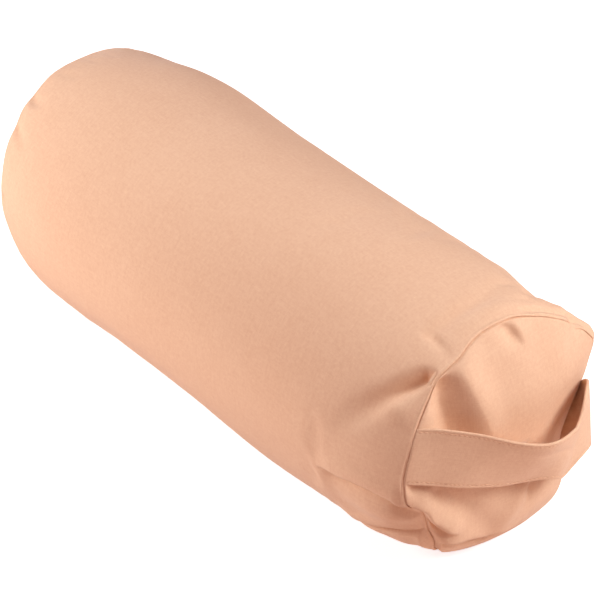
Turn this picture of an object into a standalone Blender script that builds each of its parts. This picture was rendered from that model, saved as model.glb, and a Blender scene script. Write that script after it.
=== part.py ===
"""Round yoga bolster: a cotton cover with a carry handle and a zip, round a stuffed inner cushion.

The bolster lies on the floor. +X runs along it towards the handle, +Z is up, and the origin is the middle
of the face that it rests on. Angles round the bolster are counted from +Y, towards +Z. Sizes are in metres.
"""

import math

import bmesh
import bpy
from mathutils import Matrix, Vector

# The stuffed cover
BODY_DIAMETER = 0.230
SEAM_TO_SEAM = 0.510
SETTLE = 0.006  # how far the bolster flattens where it lies on the floor
COVER_CLOTH = 0.001
HANDLE_END_DRAW_IN = 0.011  # how much the radius shrinks from the middle to the end seam
PLAIN_END_DRAW_IN = 0.016
HANDLE_END_ROUNDNESS = 8.0  # a higher power keeps the side straight for longer
PLAIN_END_ROUNDNESS = 7.0
HANDLE_END_CROWN = 0.023  # how far an end panel bulges
PLAIN_END_CROWN = 0.034
CROWN_FALLOFF = 1.3
CROWN_SAG = 0.010  # how far the top of the bulge sinks below the middle
CROWN_SHIFT = 0.010  # and how far it lies towards the back
SEAM_ALLOWANCE = 0.010  # cloth of the end panel that is turned in behind the seam

# The inner cushion
LINER_CLOTH = 0.0005
LINER_END_DRAW_IN = 0.026
LINER_ROUNDNESS = 5.0

# The handle, a strap with both ends sewn into one end seam
STRAP_WIDTH = 0.050
STRAP_CLOTH = 0.002
STRAP_REACH = 0.044  # from the end seam to the middle of the strap
STRAP_STRAIGHT = 0.0135  # how far the strap runs straight out before it arches over
STRAP_SHOULDER = 1.3  # a higher power gives the arch lower shoulders
STRAP_SKEW = 0.28  # how much further out the back half of the arch stands than the front half
HANDLE_ROLL = math.radians(15)  # how far the bolster is rolled, so the handle slants
HANDLE_DROOP = math.radians(17)  # how far the handle hangs below level
ROOT_RADIUS = 0.006  # the strap turns on a round tip at each root
ROOT_CUT_BACK = math.radians(27)  # and its corners are cut back, to clear the seam as it swings

# The zip in the long seam
ZIP_ANGLE = math.radians(315)
ZIP_LENGTH = 0.300
SLOT_WIDTH = 0.012
TAPE_WIDTH = 0.012
TAPE_CLOTH = 0.0005
TAPE_DEPTH = 0.0025  # from the outside of the cover to the outside of the tape
TAPE_END = 0.008  # tape that runs on past each end of the teeth
COIL_WIDTH = 0.0025
COIL_HEIGHT = 0.0022
COIL_GAP = 0.0009  # between the two rows, where the slider's web runs
STOP_LENGTH = 0.003
SLIDER_LENGTH = 0.010
SLIDER_WIDTH = 0.0086
SLIDER_PLATE = 0.001
SLIDER_WEB = 0.0005
SLIDER_LIP = 0.0004
BAIL_LENGTH = 0.008
BAIL_WIDTH = 0.0016
BAIL_WALL = 0.0008
PULL_LENGTH = 0.024
PULL_WIDTH = 0.005
PULL_THICKNESS = 0.0012
PULL_BAR = 0.001  # the bar of the pull that sits under the bail

GAP = 0.0003  # between cloths that touch
ZIP_GAP = 0.00015  # between the small pieces of the zip
SIDES = 36  # facets round the bolster
ROWS = 15  # facets along it
DOME_RINGS = 6  # rings from the middle of an end panel to its seam
SKIRT_RINGS = 2

BODY_RADIUS = BODY_DIAMETER / 2
AXIS_HEIGHT = BODY_RADIUS - SETTLE
HALF_LENGTH = SEAM_TO_SEAM / 2
HANDLE_SEAM_RADIUS = BODY_RADIUS - HANDLE_END_DRAW_IN
PLAIN_SEAM_RADIUS = BODY_RADIUS - PLAIN_END_DRAW_IN
FACET = math.pi / SIDES  # half the angle of one facet
OUTER_PLANE = BODY_RADIUS * math.cos(FACET)  # from the axis to the facet that holds the zip
PIVOT_OUT = ROOT_RADIUS + GAP  # from the end seam to the line that the handle swings on
COVER_INSET = COVER_CLOTH + GAP
ZIP_HALF = ZIP_LENGTH / 2

PEACH = (0.88, 0.56, 0.41, 1.0)
NATURAL = (0.86, 0.82, 0.74, 1.0)
NYLON = (0.87, 0.55, 0.41, 1.0)
NICKEL = (0.72, 0.70, 0.68, 1.0)


def material(name, colour, roughness, metallic=0.0):
    """A plain material with one colour, used by every piece made of that stuff."""
    made = bpy.data.materials.get(name) or bpy.data.materials.new(name)
    made.use_nodes = True
    shader = made.node_tree.nodes["Principled BSDF"]
    shader.inputs["Base Color"].default_value = colour
    shader.inputs["Roughness"].default_value = roughness
    shader.inputs["Metallic"].default_value = metallic
    return made


def add_object(name, data, finish, collection, frame=None):
    """One named piece, linked to its collection and placed by the empty that it hangs on."""
    piece = bpy.data.objects.new(name, data)
    data.materials.append(finish)
    collection.objects.link(piece)
    piece.parent = frame
    return piece


def add_frame(name, columns, place, collection):
    """An empty whose X, Y and Z run along the three given directions."""
    frame = bpy.data.objects.new(name, None)
    turned = Matrix(columns).transposed()
    frame.matrix_world = Matrix.Translation(place) @ turned.to_4x4()
    collection.objects.link(frame)
    return frame


def thicken(piece, thickness, offset=-1.0):
    """Gives an open sheet its cloth. An offset of -1 adds it all on the inside."""
    solidify = piece.modifiers.new("cloth", "SOLIDIFY")
    solidify.thickness = thickness
    solidify.offset = offset
    solidify.use_even_offset = True


def smooth(mesh, angle=math.radians(40)):
    mesh.shade_smooth()
    mesh.set_sharp_from_angle(angle=angle)


def add_sheet(name, along, across, shape, finish, collection, frame=None):
    """A flat grid of cloth, laid out by shape(u, v), where u and v each run from 0 to 1."""
    mesh = bpy.data.meshes.new(name)
    cloth = bmesh.new()
    bmesh.ops.create_grid(cloth, x_segments=along, y_segments=across, size=1.0)
    for corner in cloth.verts:
        corner.co = shape((corner.co.x + 1) / 2, (corner.co.y + 1) / 2)
    bmesh.ops.remove_doubles(cloth, verts=cloth.verts, dist=1e-6)
    cloth.to_mesh(mesh)
    cloth.free()
    smooth(mesh)
    return add_object(name, mesh, finish, collection, frame)


def add_outline(name, points, thickness, finish, collection, frame, holes=()):
    """A flat outline, extruded by half its thickness each way, as a mesh whose faces are welded."""
    curve = bpy.data.curves.new(name, "CURVE")
    curve.dimensions = "2D"
    curve.fill_mode = "BOTH"
    curve.extrude = thickness / 2
    for loop in (points, *holes):
        spline = curve.splines.new("POLY")
        spline.points.add(len(loop) - 1)
        for point, (across, up) in zip(spline.points, loop):
            point.co = (across, up, 0.0, 1.0)
        spline.use_cyclic_u = True
    drawn = bpy.data.objects.new(name + "_outline", curve)
    collection.objects.link(drawn)
    graph = bpy.context.evaluated_depsgraph_get()
    mesh = bpy.data.meshes.new_from_object(drawn.evaluated_get(graph))
    mesh.name = name
    bpy.data.objects.remove(drawn)
    welded = bmesh.new()
    welded.from_mesh(mesh)
    bmesh.ops.remove_doubles(welded, verts=welded.verts, dist=1e-6)
    bmesh.ops.recalc_face_normals(welded, faces=welded.faces)
    welded.to_mesh(mesh)
    welded.free()
    return add_object(name, mesh, finish, collection, frame)


def add_box(name, low, high, finish, collection, frame, bevel=0.0):
    """A box between two corners, with its edges rounded by a Bevel modifier."""
    mesh = bpy.data.meshes.new(name)
    block = bmesh.new()
    bmesh.ops.create_cube(block, size=1.0)
    middle = (Vector(low) + Vector(high)) / 2
    size = Vector(high) - Vector(low)
    bmesh.ops.scale(block, vec=size, verts=block.verts)
    bmesh.ops.translate(block, vec=middle, verts=block.verts)
    block.to_mesh(mesh)
    block.free()
    piece = add_object(name, mesh, finish, collection, frame)
    if bevel:
        rounded = piece.modifiers.new("rounded edges", "BEVEL")
        rounded.width = bevel
        rounded.segments = 2
    return piece


def hide_helper(piece):
    piece.hide_render = True
    piece.display_type = "WIRE"


def cut(piece, cutter, operation="DIFFERENCE"):
    """Cuts a helper out of a piece, or joins it on, and leaves the helper out of the object."""
    hide_helper(cutter)
    boolean = piece.modifiers.new(cutter.name, "BOOLEAN")
    boolean.operation = operation
    boolean.object = cutter


# The round of the bolster


def cover_radius(x):
    """The cover is full in the middle and drawn in to each end seam, as a power of the way there."""
    share = abs(x) / HALF_LENGTH
    if x > 0:
        return BODY_RADIUS - HANDLE_END_DRAW_IN * share**HANDLE_END_ROUNDNESS
    return BODY_RADIUS - PLAIN_END_DRAW_IN * share**PLAIN_END_ROUNDNESS


def liner_radius(x, inset):
    """The inner cushion fills the cover in the middle and is rounder than it at the ends."""
    share = abs(x) / liner_half_length()
    return BODY_RADIUS - inset - LINER_END_DRAW_IN * share**LINER_ROUNDNESS


def liner_dome_depth():
    """How far the outside of the liner's end panel lies inside the outside of the cover's."""
    handle_end = HANDLE_END_CROWN / HANDLE_SEAM_RADIUS
    plain_end = PLAIN_END_CROWN / PLAIN_SEAM_RADIUS
    steepest = 2 * max(handle_end, plain_end)
    return COVER_INSET * math.hypot(1, steepest) + GAP


def liner_half_length():
    return HALF_LENGTH - liner_dome_depth() - LINER_CLOTH - GAP


def zip_bed():
    """From the axis to the flat that the inner cushion takes under the zip."""
    slider_bottom = TAPE_DEPTH + TAPE_CLOTH + 2 * ZIP_GAP + SLIDER_PLATE
    return OUTER_PLANE - slider_bottom - GAP


def ring_point(x, angle, radius, floor, bed=None):
    """A point round the bolster, pressed flat by the floor and, inside the cover, by the zip."""
    y = radius * math.cos(angle)
    z = radius * math.sin(angle)
    if bed is not None:
        over = y * math.cos(ZIP_ANGLE) + z * math.sin(ZIP_ANGLE) - bed
        if over > 0:
            y -= over * math.cos(ZIP_ANGLE)
            z -= over * math.sin(ZIP_ANGLE)
    return Vector((x, y, max(z + AXIS_HEIGHT, floor)))


def station(share, half):
    """Rows of facets lie closer together towards the end seams."""
    return half * math.sin(math.pi * (share - 0.5))


def dome_point(ring, angle, rim, plane, side):
    """An end panel: a bulge that falls off to its rim, with its top a little below the middle."""
    fall = 1 - ring * ring
    crown = HANDLE_END_CROWN if side > 0 else PLAIN_END_CROWN
    y = ring * rim * math.cos(angle) + CROWN_SHIFT * fall
    z = ring * rim * math.sin(angle) - CROWN_SAG * fall
    out = plane + crown * fall**CROWN_FALLOFF
    return Vector((side * out, y, z + AXIS_HEIGHT))


def add_cover_body(cloth, parts, helpers, zip_frame):
    def shape(u, v):
        x = station(u, HALF_LENGTH)
        return ring_point(x, -v * math.tau, cover_radius(x), 0.0)

    body = add_sheet("cover_body", ROWS, SIDES, shape, cloth, parts)
    thicken(body, COVER_CLOTH)
    half_slot = ZIP_HALF + STOP_LENGTH + 2 * ZIP_GAP
    slot = add_box(
        "zip_slot",
        (-half_slot, -SLOT_WIDTH / 2, OUTER_PLANE - 4 * COVER_CLOTH),
        (half_slot, SLOT_WIDTH / 2, OUTER_PLANE + 4 * COVER_CLOTH),
        cloth,
        helpers,
        zip_frame,
    )
    cut(body, slot)


def sphere_rings(rings):
    """A ball whose rings, counted from its top, become the rings of a domed piece."""
    ball = bmesh.new()
    bmesh.ops.create_uvsphere(ball, u_segments=SIDES, v_segments=rings, radius=1.0)
    found = []
    for corner in ball.verts:
        tilt = math.acos(max(-1.0, min(1.0, corner.co.z)))
        ring = round(tilt / math.pi * rings)
        found.append((corner, ring, math.atan2(corner.co.y, corner.co.x)))
    return ball, found


def add_end_panel(name, side, rim, plane, cloth, thickness, skirt, parts):
    """A domed round of cloth, with its edge turned in along the body as a skirt where it has one."""
    ball, corners = sphere_rings(2 * DOME_RINGS)
    extra = []
    for corner, ring, angle in corners:
        if ring <= DOME_RINGS:
            corner.co = dome_point(ring / DOME_RINGS, angle, rim, plane, side)
        elif skirt and ring <= DOME_RINGS + SKIRT_RINGS:
            turned_in = skirt * (ring - DOME_RINGS) / SKIRT_RINGS
            corner.co = dome_point(1.0, angle, rim, plane - turned_in, side)
        else:
            extra.append(corner)
    bmesh.ops.delete(ball, geom=extra, context="VERTS")
    if side < 0:
        bmesh.ops.reverse_faces(ball, faces=ball.faces)
    mesh = bpy.data.meshes.new(name)
    ball.to_mesh(mesh)
    ball.free()
    smooth(mesh)
    panel = add_object(name, mesh, cloth, parts)
    thicken(panel, thickness)
    return panel


def add_liner(cloth, parts):
    half = liner_half_length()

    def shape(u, v):
        x = station(u, half)
        radius = liner_radius(x, COVER_INSET)
        return ring_point(x, -v * math.tau, radius, COVER_INSET, zip_bed())

    body = add_sheet("liner_body", ROWS, SIDES, shape, cloth, parts)
    thicken(body, LINER_CLOTH)
    rim = liner_radius(half, COVER_INSET)
    plane = HALF_LENGTH - liner_dome_depth()
    for name, side in (("liner_end_handle", 1), ("liner_end_plain", -1)):
        add_end_panel(name, side, rim, plane, cloth, LINER_CLOTH, 0.0, parts)


def add_filling(stuffing, parts):
    """One soft mass that fills the liner, closed by a dome at each end."""
    inset = COVER_INSET + LINER_CLOTH + GAP
    half = liner_half_length() - GAP
    plane = HALF_LENGTH - liner_dome_depth() - LINER_CLOTH - 2 * GAP
    rim = liner_radius(half, inset)
    rings = 2 * DOME_RINGS + ROWS
    ball, corners = sphere_rings(rings)
    for corner, ring, angle in corners:
        if ring < DOME_RINGS:
            corner.co = dome_point(ring / DOME_RINGS, angle, rim, plane, 1)
        elif ring > rings - DOME_RINGS:
            corner.co = dome_point((rings - ring) / DOME_RINGS, angle, rim, plane, -1)
        else:
            x = station(1 - (ring - DOME_RINGS) / ROWS, half)
            radius = liner_radius(x, inset)
            corner.co = ring_point(x, angle, radius, inset, zip_bed() - LINER_CLOTH - GAP)
    mesh = bpy.data.meshes.new("filling")
    ball.to_mesh(mesh)
    ball.free()
    smooth(mesh)
    add_object("filling", mesh, stuffing, parts)


# The handle


def strap_chord():
    """From the axis to the middle of the strap's cloth where it enters the seam. The strap is flat
    there, so its corners are what meet the inside of the cover."""
    inside = (HANDLE_SEAM_RADIUS - COVER_CLOTH) * math.cos(FACET) - GAP
    return math.sqrt(inside**2 - (STRAP_WIDTH / 2) ** 2) - STRAP_CLOTH / 2


def root_line(across):
    """Where the strap starts, from the line that it swings on: a round tip with cut-back corners."""
    tangent = ROOT_RADIUS * math.sin(ROOT_CUT_BACK)
    if abs(across) <= tangent:
        return -math.sqrt(ROOT_RADIUS**2 - across**2)
    cut_back = abs(across) * math.sin(ROOT_CUT_BACK) - ROOT_RADIUS
    return cut_back / math.cos(ROOT_CUT_BACK)


def add_strap(cloth, parts, helpers):
    """The strap runs straight out of the seam at each root and arches over the end panel."""
    forward = Vector((0, -math.cos(HANDLE_ROLL), math.sin(HANDLE_ROLL)))
    upward = Vector((0, math.sin(HANDLE_ROLL), math.cos(HANDLE_ROLL)))
    level = Vector((1, 0, 0))
    outward = level * math.cos(HANDLE_DROOP) - upward * math.sin(HANDLE_DROOP)
    width_way = level * math.sin(HANDLE_DROOP) + upward * math.cos(HANDLE_DROOP)
    pivot = Vector((HALF_LENGTH + PIVOT_OUT, 0, AXIS_HEIGHT))
    swing = add_frame("handle_swing", (forward, outward, width_way), pivot, helpers)
    chord = strap_chord()
    straight = STRAP_STRAIGHT - PIVOT_OUT
    rise = STRAP_REACH - STRAP_STRAIGHT
    along, across = 30, 10

    def shape(u, v):
        sideways = (v - 0.5) * STRAP_WIDTH
        row = round(u * along)
        if row in (0, along):
            turn = 0.0 if row == 0 else math.pi
            out = root_line(sideways)
        else:
            turn = math.pi * (row - 1) / (along - 2)
            skew = 1 - STRAP_SKEW * math.cos(turn)
            out = straight + rise * skew * abs(math.sin(turn)) ** STRAP_SHOULDER
        return Vector((chord * math.cos(turn), out, sideways))

    loop = add_sheet("handle_loop", along, across, shape, cloth, parts, swing)
    thicken(loop, STRAP_CLOTH, offset=0.0)
    seam = Vector((HALF_LENGTH, 0, AXIS_HEIGHT))
    tuck = SEAM_ALLOWANCE
    half = STRAP_WIDTH / 2
    outline = [(-tuck, -half), (0, -half), (0, half), (-tuck, half)]
    cutters = []
    for name, side in (("front", 1), ("back", -1)):
        place = seam + forward * side * chord
        flat = (level, upward, level.cross(upward))
        root = add_frame(f"strap_root_{name}", flat, place, helpers)
        add_outline(f"handle_tab_{name}", outline, STRAP_CLOTH, cloth, parts, root)
        outer_way = side * (1 if level.cross(upward).dot(forward) > 0 else -1)
        near = -(STRAP_CLOTH / 2 + GAP)
        far = BODY_RADIUS - chord
        low, high = sorted((outer_way * near, outer_way * far))
        room = half + STRAP_CLOTH
        cutter = add_box(
            f"strap_notch_{name}",
            (-2 * tuck, -room, low),
            (HANDLE_END_CROWN, room, high),
            cloth,
            helpers,
            root,
        )
        cutters.append(cutter)
    return cutters


# The zip


def add_zip(tape, nylon, metal, parts, helpers, frame):
    """Everything is drawn in the zip's own frame: X along it, Y across it and Z out of the cover."""
    tape_top = OUTER_PLANE - TAPE_DEPTH
    tape_bottom = tape_top - TAPE_CLOTH
    coil_bottom = tape_top + ZIP_GAP
    coil_top = coil_bottom + COIL_HEIGHT
    inner = COIL_GAP / 2
    outer = inner + COIL_WIDTH
    for name, side in (("upper", -1), ("lower", 1)):
        rows = sorted((side * inner, side * outer))
        tapes = sorted((side * inner, side * (inner + TAPE_WIDTH)))
        end = ZIP_HALF + TAPE_END
        add_box(
            f"zip_tape_{name}",
            (-end, tapes[0], tape_bottom),
            (end, tapes[1], tape_top),
            tape,
            parts,
            frame,
        )
        add_box(
            f"zip_coil_{name}",
            (-ZIP_HALF, rows[0], coil_bottom),
            (ZIP_HALF, rows[1], coil_top),
            nylon,
            parts,
            frame,
            bevel=COIL_HEIGHT / 4,
        )
        add_box(
            f"zip_top_stop_{name}",
            (ZIP_HALF + ZIP_GAP, rows[0], coil_bottom),
            (ZIP_HALF + ZIP_GAP + STOP_LENGTH, rows[1], coil_top),
            metal,
            parts,
            frame,
            bevel=COIL_HEIGHT / 6,
        )
    add_box(
        "zip_bottom_stop",
        (-ZIP_HALF - ZIP_GAP - STOP_LENGTH, -outer, coil_bottom),
        (-ZIP_HALF - ZIP_GAP, outer, coil_top),
        metal,
        parts,
        frame,
        bevel=COIL_HEIGHT / 6,
    )
    plate_bottom = coil_top + ZIP_GAP
    plate_top = plate_bottom + SLIDER_PLATE
    add_slider(tape_bottom, plate_bottom, plate_top, metal, parts, helpers, frame)
    add_pull(plate_top, metal, parts, frame)


def slider_place():
    """The slider is parked at the closed end of the zip, against the top stops."""
    return ZIP_HALF - SLIDER_LENGTH / 2


def pull_height(plate_top):
    """The bar of the pull lies just clear of the slider's top plate."""
    return plate_top + ZIP_GAP + PULL_THICKNESS / 2


def add_slider(tape_bottom, plate_bottom, plate_top, metal, parts, helpers, frame):
    """Two plates round the coil, joined by a thin web between its rows, with lips at the sides."""
    half = SLIDER_WIDTH / 2
    web = SLIDER_WEB / 2
    under_top = tape_bottom - ZIP_GAP
    under_bottom = under_top - SLIDER_PLATE
    lip_foot = plate_bottom - COIL_HEIGHT / 2
    right = [
        (half, under_bottom),
        (half, under_top),
        (web, under_top),
        (web, plate_bottom),
        (half - SLIDER_LIP, plate_bottom),
        (half - SLIDER_LIP, lip_foot),
        (half, lip_foot),
        (half, plate_top),
    ]
    section = right + [(-across, up) for across, up in reversed(right)]
    across_way = Vector((0, 1, 0))
    up_way = Vector((0, 0, 1))
    facing = add_frame(
        "slider_section",
        (across_way, up_way, across_way.cross(up_way)),
        Vector((slider_place(), 0, 0)),
        helpers,
    )
    facing.parent = frame
    slider = add_outline("zip_slider", section, SLIDER_LENGTH, metal, parts, facing)
    bar = pull_height(plate_top) + PULL_THICKNESS / 2 + ZIP_GAP
    foot = plate_top - SLIDER_PLATE / 2
    shoulder = bar + BAIL_WALL / 2
    outside = BAIL_LENGTH / 2
    inside = outside - BAIL_WALL
    arch = [
        (-outside, foot),
        (-inside, foot),
        (-inside, bar),
        (inside, bar),
        (inside, foot),
        (outside, foot),
        (outside, shoulder),
        (inside, bar + BAIL_WALL),
        (-inside, bar + BAIL_WALL),
        (-outside, shoulder),
    ]
    along_way = Vector((1, 0, 0))
    side_on = add_frame(
        "bail_section",
        (along_way, up_way, along_way.cross(up_way)),
        Vector((slider_place(), 0, 0)),
        helpers,
    )
    side_on.parent = frame
    bail = add_outline("zip_bail", arch, BAIL_WIDTH, metal, helpers, side_on)
    cut(slider, bail, "UNION")


def add_pull(plate_top, metal, parts, frame):
    """A flat tab that hangs from its bar, straight out from the cover, with its window round the bail."""
    half = PULL_WIDTH / 2
    bar = PULL_BAR / 2
    window = BAIL_WIDTH / 2 + 3 * ZIP_GAP
    reach = BAIL_LENGTH / 2 + 3 * ZIP_GAP
    tip = PULL_LENGTH - bar
    corner = half / 2
    outline = [
        (-half, -bar),
        (half, -bar),
        (half, tip - corner),
        (corner, tip),
        (-corner, tip),
        (-half, tip - corner),
    ]
    hole = [(-window, bar), (-window, reach), (window, reach), (window, bar)]
    across_way = Vector((0, 1, 0))
    up_way = Vector((0, 0, 1))
    place = Vector((slider_place(), 0, pull_height(plate_top)))
    hinge = add_frame(
        "pull_hinge", (across_way, up_way, across_way.cross(up_way)), place, frame.users_collection[0]
    )
    hinge.parent = frame
    add_outline("zip_pull", outline, PULL_THICKNESS, metal, parts, hinge, holes=(hole,))


def main():
    for old in list(bpy.data.objects):
        bpy.data.objects.remove(old)
    parts = bpy.data.collections.new("yoga_bolster")
    helpers = bpy.data.collections.new("helpers")
    for collection in (parts, helpers):
        bpy.context.scene.collection.children.link(collection)

    cotton = material("peach cotton", PEACH, 0.9)
    lining = material("natural cotton", NATURAL, 0.9)
    stuffing = material("kapok", NATURAL, 1.0)
    tape = material("zip tape", PEACH, 0.8)
    nylon = material("nylon coil", NYLON, 0.4)
    metal = material("nickel", NICKEL, 0.3, 1.0)

    out = Vector((0, math.cos(ZIP_ANGLE), math.sin(ZIP_ANGLE)))
    along = Vector((1, 0, 0))
    axis = Vector((0, 0, AXIS_HEIGHT))
    zip_frame = add_frame("zip_frame", (along, out.cross(along), out), axis, helpers)

    add_cover_body(cotton, parts, helpers, zip_frame)
    rim = HANDLE_SEAM_RADIUS - COVER_INSET
    handle_panel = add_end_panel(
        "cover_end_handle", 1, rim, HALF_LENGTH, cotton, COVER_CLOTH, SEAM_ALLOWANCE, parts
    )
    rim = PLAIN_SEAM_RADIUS - COVER_INSET
    add_end_panel(
        "cover_end_plain", -1, rim, HALF_LENGTH, cotton, COVER_CLOTH, SEAM_ALLOWANCE, parts
    )
    for cutter in add_strap(cotton, parts, helpers):
        cut(handle_panel, cutter)
    add_zip(tape, nylon, metal, parts, helpers, zip_frame)
    add_liner(lining, parts)
    add_filling(stuffing, parts)


main()
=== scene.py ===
# %% [markdown]
# # A round yoga bolster
#
# The object is a long round cushion. A tube of cotton canvas is sewn to a round canvas panel at each
# end, and a wide canvas strap is caught in the seam of the near end. Under the cover there is a plain
# cotton cushion, and a zip in the long seam lets it out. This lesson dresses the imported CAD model:
# every piece below sits where the CAD says, and rides on a CAD body.

# %% Load the frame
import math

import bpy
import numpy as np
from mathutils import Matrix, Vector


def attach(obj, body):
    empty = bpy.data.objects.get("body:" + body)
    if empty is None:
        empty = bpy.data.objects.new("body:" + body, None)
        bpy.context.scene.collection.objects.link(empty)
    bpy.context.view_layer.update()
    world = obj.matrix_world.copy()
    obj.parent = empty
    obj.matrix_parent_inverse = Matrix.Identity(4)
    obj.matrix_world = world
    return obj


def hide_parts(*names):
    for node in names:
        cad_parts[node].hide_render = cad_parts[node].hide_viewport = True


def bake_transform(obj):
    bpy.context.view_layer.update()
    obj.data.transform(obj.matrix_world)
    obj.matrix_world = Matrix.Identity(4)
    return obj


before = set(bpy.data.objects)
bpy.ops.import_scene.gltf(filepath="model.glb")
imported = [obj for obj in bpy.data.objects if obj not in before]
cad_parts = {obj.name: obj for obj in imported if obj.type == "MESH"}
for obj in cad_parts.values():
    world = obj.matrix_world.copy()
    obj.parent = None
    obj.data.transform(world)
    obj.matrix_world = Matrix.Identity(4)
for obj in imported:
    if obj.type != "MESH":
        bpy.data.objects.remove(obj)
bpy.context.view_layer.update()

# %% [markdown]
# ## Camera
#
# A long lens keeps the sides of a product almost parallel. The photograph was taken from the front
# right at about 37 degrees above the table, with something like a 190 mm lens. The camera is aimed a
# little beside the cushion's middle, which puts the cushion where it is in the frame without any shift.

# %% Camera
AZIMUTH = math.radians(49.07)
ELEVATION = math.radians(36.71)
DISTANCE = 2.645
LENS = 194.0
AIM_RIGHT = 0.0174
AIM_DOWN = 0.0106
AXIS_HEIGHT = 0.109

towards_camera = Vector((
    math.sin(AZIMUTH) * math.cos(ELEVATION),
    -math.cos(AZIMUTH) * math.cos(ELEVATION),
    math.sin(ELEVATION),
))
to_the_right = Vector((math.cos(AZIMUTH), math.sin(AZIMUTH), 0.0))
upwards = towards_camera.cross(to_the_right)
middle = Vector((0.0, 0.0, AXIS_HEIGHT))
aim = middle + to_the_right * AIM_RIGHT - upwards * AIM_DOWN

camera = bpy.data.objects.new("camera", bpy.data.cameras.new("camera"))
bpy.context.scene.collection.objects.link(camera)
camera.data.lens = LENS
camera.data.sensor_width = 36.0
camera.location = middle + towards_camera * DISTANCE
camera.rotation_mode = "QUATERNION"
camera.rotation_quaternion = (aim - camera.location).to_track_quat("-Z", "Y")
bpy.context.scene.camera = camera
bpy.context.scene.view_settings.view_transform = "Standard"
print("camera at", [round(c, 3) for c in camera.location])

# %% [markdown]
# ## Light and floor
#
# The picture is lit by three soft lamps in a warm, dim room. One stands far out to the front left and
# lights the long side, most of all at its far end. One stands high to the right and lights the round
# end. A cooler one hangs above and behind, for the top. The white floor throws light back from below.
# To the camera the floor shows a little brighter than it is, and white further out, so that only the
# deeper part of the shadow is left under the cushion.

# %% Node helpers


class Nodes:
    """The node tree of a material or a world. A value is a number, a colour or a node's socket."""

    def __init__(self, owner, output="OutputMaterial"):
        owner.use_nodes = True
        self.tree = owner.node_tree
        self.tree.nodes.clear()
        self.output = self.add(output)

    def put(self, socket, value):
        """Gives a socket its value, as a link if the value is a socket."""
        if isinstance(value, bpy.types.NodeSocket):
            self.tree.links.new(value, socket)
        else:
            socket.default_value = value

    def add(self, kind, settings=None, **inputs):
        """One node. Settings go to its properties, and inputs to its sockets, by name or by _number."""
        node = self.tree.nodes.new("ShaderNode" + kind)
        for key, value in (settings or {}).items():
            setattr(node, key, value)
        for key, value in inputs.items():
            name = key.replace("_", " ").strip()
            self.put(node.inputs[int(name) if name.isdigit() else name], value)
        return node

    def math(self, operation, *values, clamp=False):
        """The output of one Math node."""
        node = self.add("Math", {"operation": operation, "use_clamp": clamp})
        for socket, value in zip(node.inputs, values):
            self.put(socket, value)
        return node.outputs[0]

    def blend(self, share, first, second):
        """A mix of two colours: the first where share is 0, the second where it is 1."""
        return self.add("Mix", {"data_type": "RGBA"}, _0=share, _6=first, _7=second).outputs[2]

    def noise(self, place, scale, detail, roughness=0.5, dimensions="3D"):
        """Cloudy noise from 0 to 1, at about so many clouds to a metre."""
        return self.add("TexNoise", {"noise_dimensions": dimensions}, Vector=place, Scale=scale,
                        Detail=detail, Roughness=roughness).outputs["Fac"]

    def bump(self, height, strength, distance):
        """Normals tilted by a height."""
        return self.add("Bump", Height=height, Strength=strength, Distance=distance).outputs[0]

    def finish(self, kind, **inputs):
        """The shader that the whole tree ends in."""
        self.put(self.output.inputs["Surface"], self.add(kind, **inputs).outputs[0])


def new_material(name):
    """A material and its empty node tree."""
    material = bpy.data.materials.new(name)
    return material, Nodes(material)


def seen_directly(nodes):
    """1 for what the camera or a shiny surface sees, 0 where light is only thrown back."""
    rays = nodes.add("LightPath")
    return nodes.math("MAXIMUM", rays.outputs["Is Camera Ray"], rays.outputs["Is Glossy Ray"])


# %% Floor
HALF_FLOOR = 6.0
FLOOR_GAP = 0.0004
PAPER_SEEN = (0.86, 0.86, 0.86, 1)
PAPER_BOUNCE = (0.86, 0.71, 0.66, 1)
GLOW_NEAR = (0.68, 0.69, 0.71, 1)
GLOW_FAR = (1.05, 1.05, 1.05, 1)

floor_mesh = bpy.data.meshes.new("floor")
corners = [(x * HALF_FLOOR, y * HALF_FLOOR, 0) for x, y in ((-1, -1), (1, -1), (1, 1), (-1, 1))]
floor_mesh.from_pydata(corners, [], [(0, 1, 2, 3)])
floor = bpy.data.objects.new("floor", floor_mesh)
floor.location.z = -FLOOR_GAP
bpy.context.scene.collection.objects.link(floor)

paper, nodes = new_material("white_paper")
seen = seen_directly(nodes)
matt = nodes.add("BsdfDiffuse", Color=nodes.blend(seen, PAPER_BOUNCE, PAPER_SEEN))
floor_place = nodes.add("TexCoord").outputs["Object"]
away = nodes.add("VectorMath", {"operation": "LENGTH"}, _0=floor_place).outputs["Value"]
far_share = nodes.math("MULTIPLY_ADD", away, 1.2, -0.6, clamp=True)
glow = nodes.add("Emission", Color=nodes.blend(far_share, GLOW_NEAR, GLOW_FAR), Strength=seen)
nodes.finish("AddShader", _0=matt.outputs[0], _1=glow.outputs[0])
floor_mesh.materials.append(paper)

# %% Lamps and room
ROOM_LIGHT = (0.18, 0.035, 0.020, 1)
LAMP_AIM = Vector((0.0, 0.0, 0.1))
LAMPS = (
    # name, place, width in metres, watts, colour
    ("lamp_right", (1.10, 0.50, 1.00), 0.6, 15.7, (1.0, 1.0, 1.0)),
    ("lamp_front", (-0.85, -1.00, 0.60), 0.5, 15.2, (1.0, 1.0, 1.0)),
    ("lamp_above", (0.03, 0.75, 1.75), 0.8, 7.8, (0.82, 0.91, 0.98)),
)

room = bpy.data.worlds.new("white_room")
bpy.context.scene.world = room
nodes = Nodes(room, "OutputWorld")
dim = nodes.add("Background", Color=ROOM_LIGHT)
bright = nodes.add("Background", Color=(1, 1, 1, 1))
nodes.finish("MixShader", _0=seen_directly(nodes), _1=dim.outputs[0], _2=bright.outputs[0])

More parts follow.
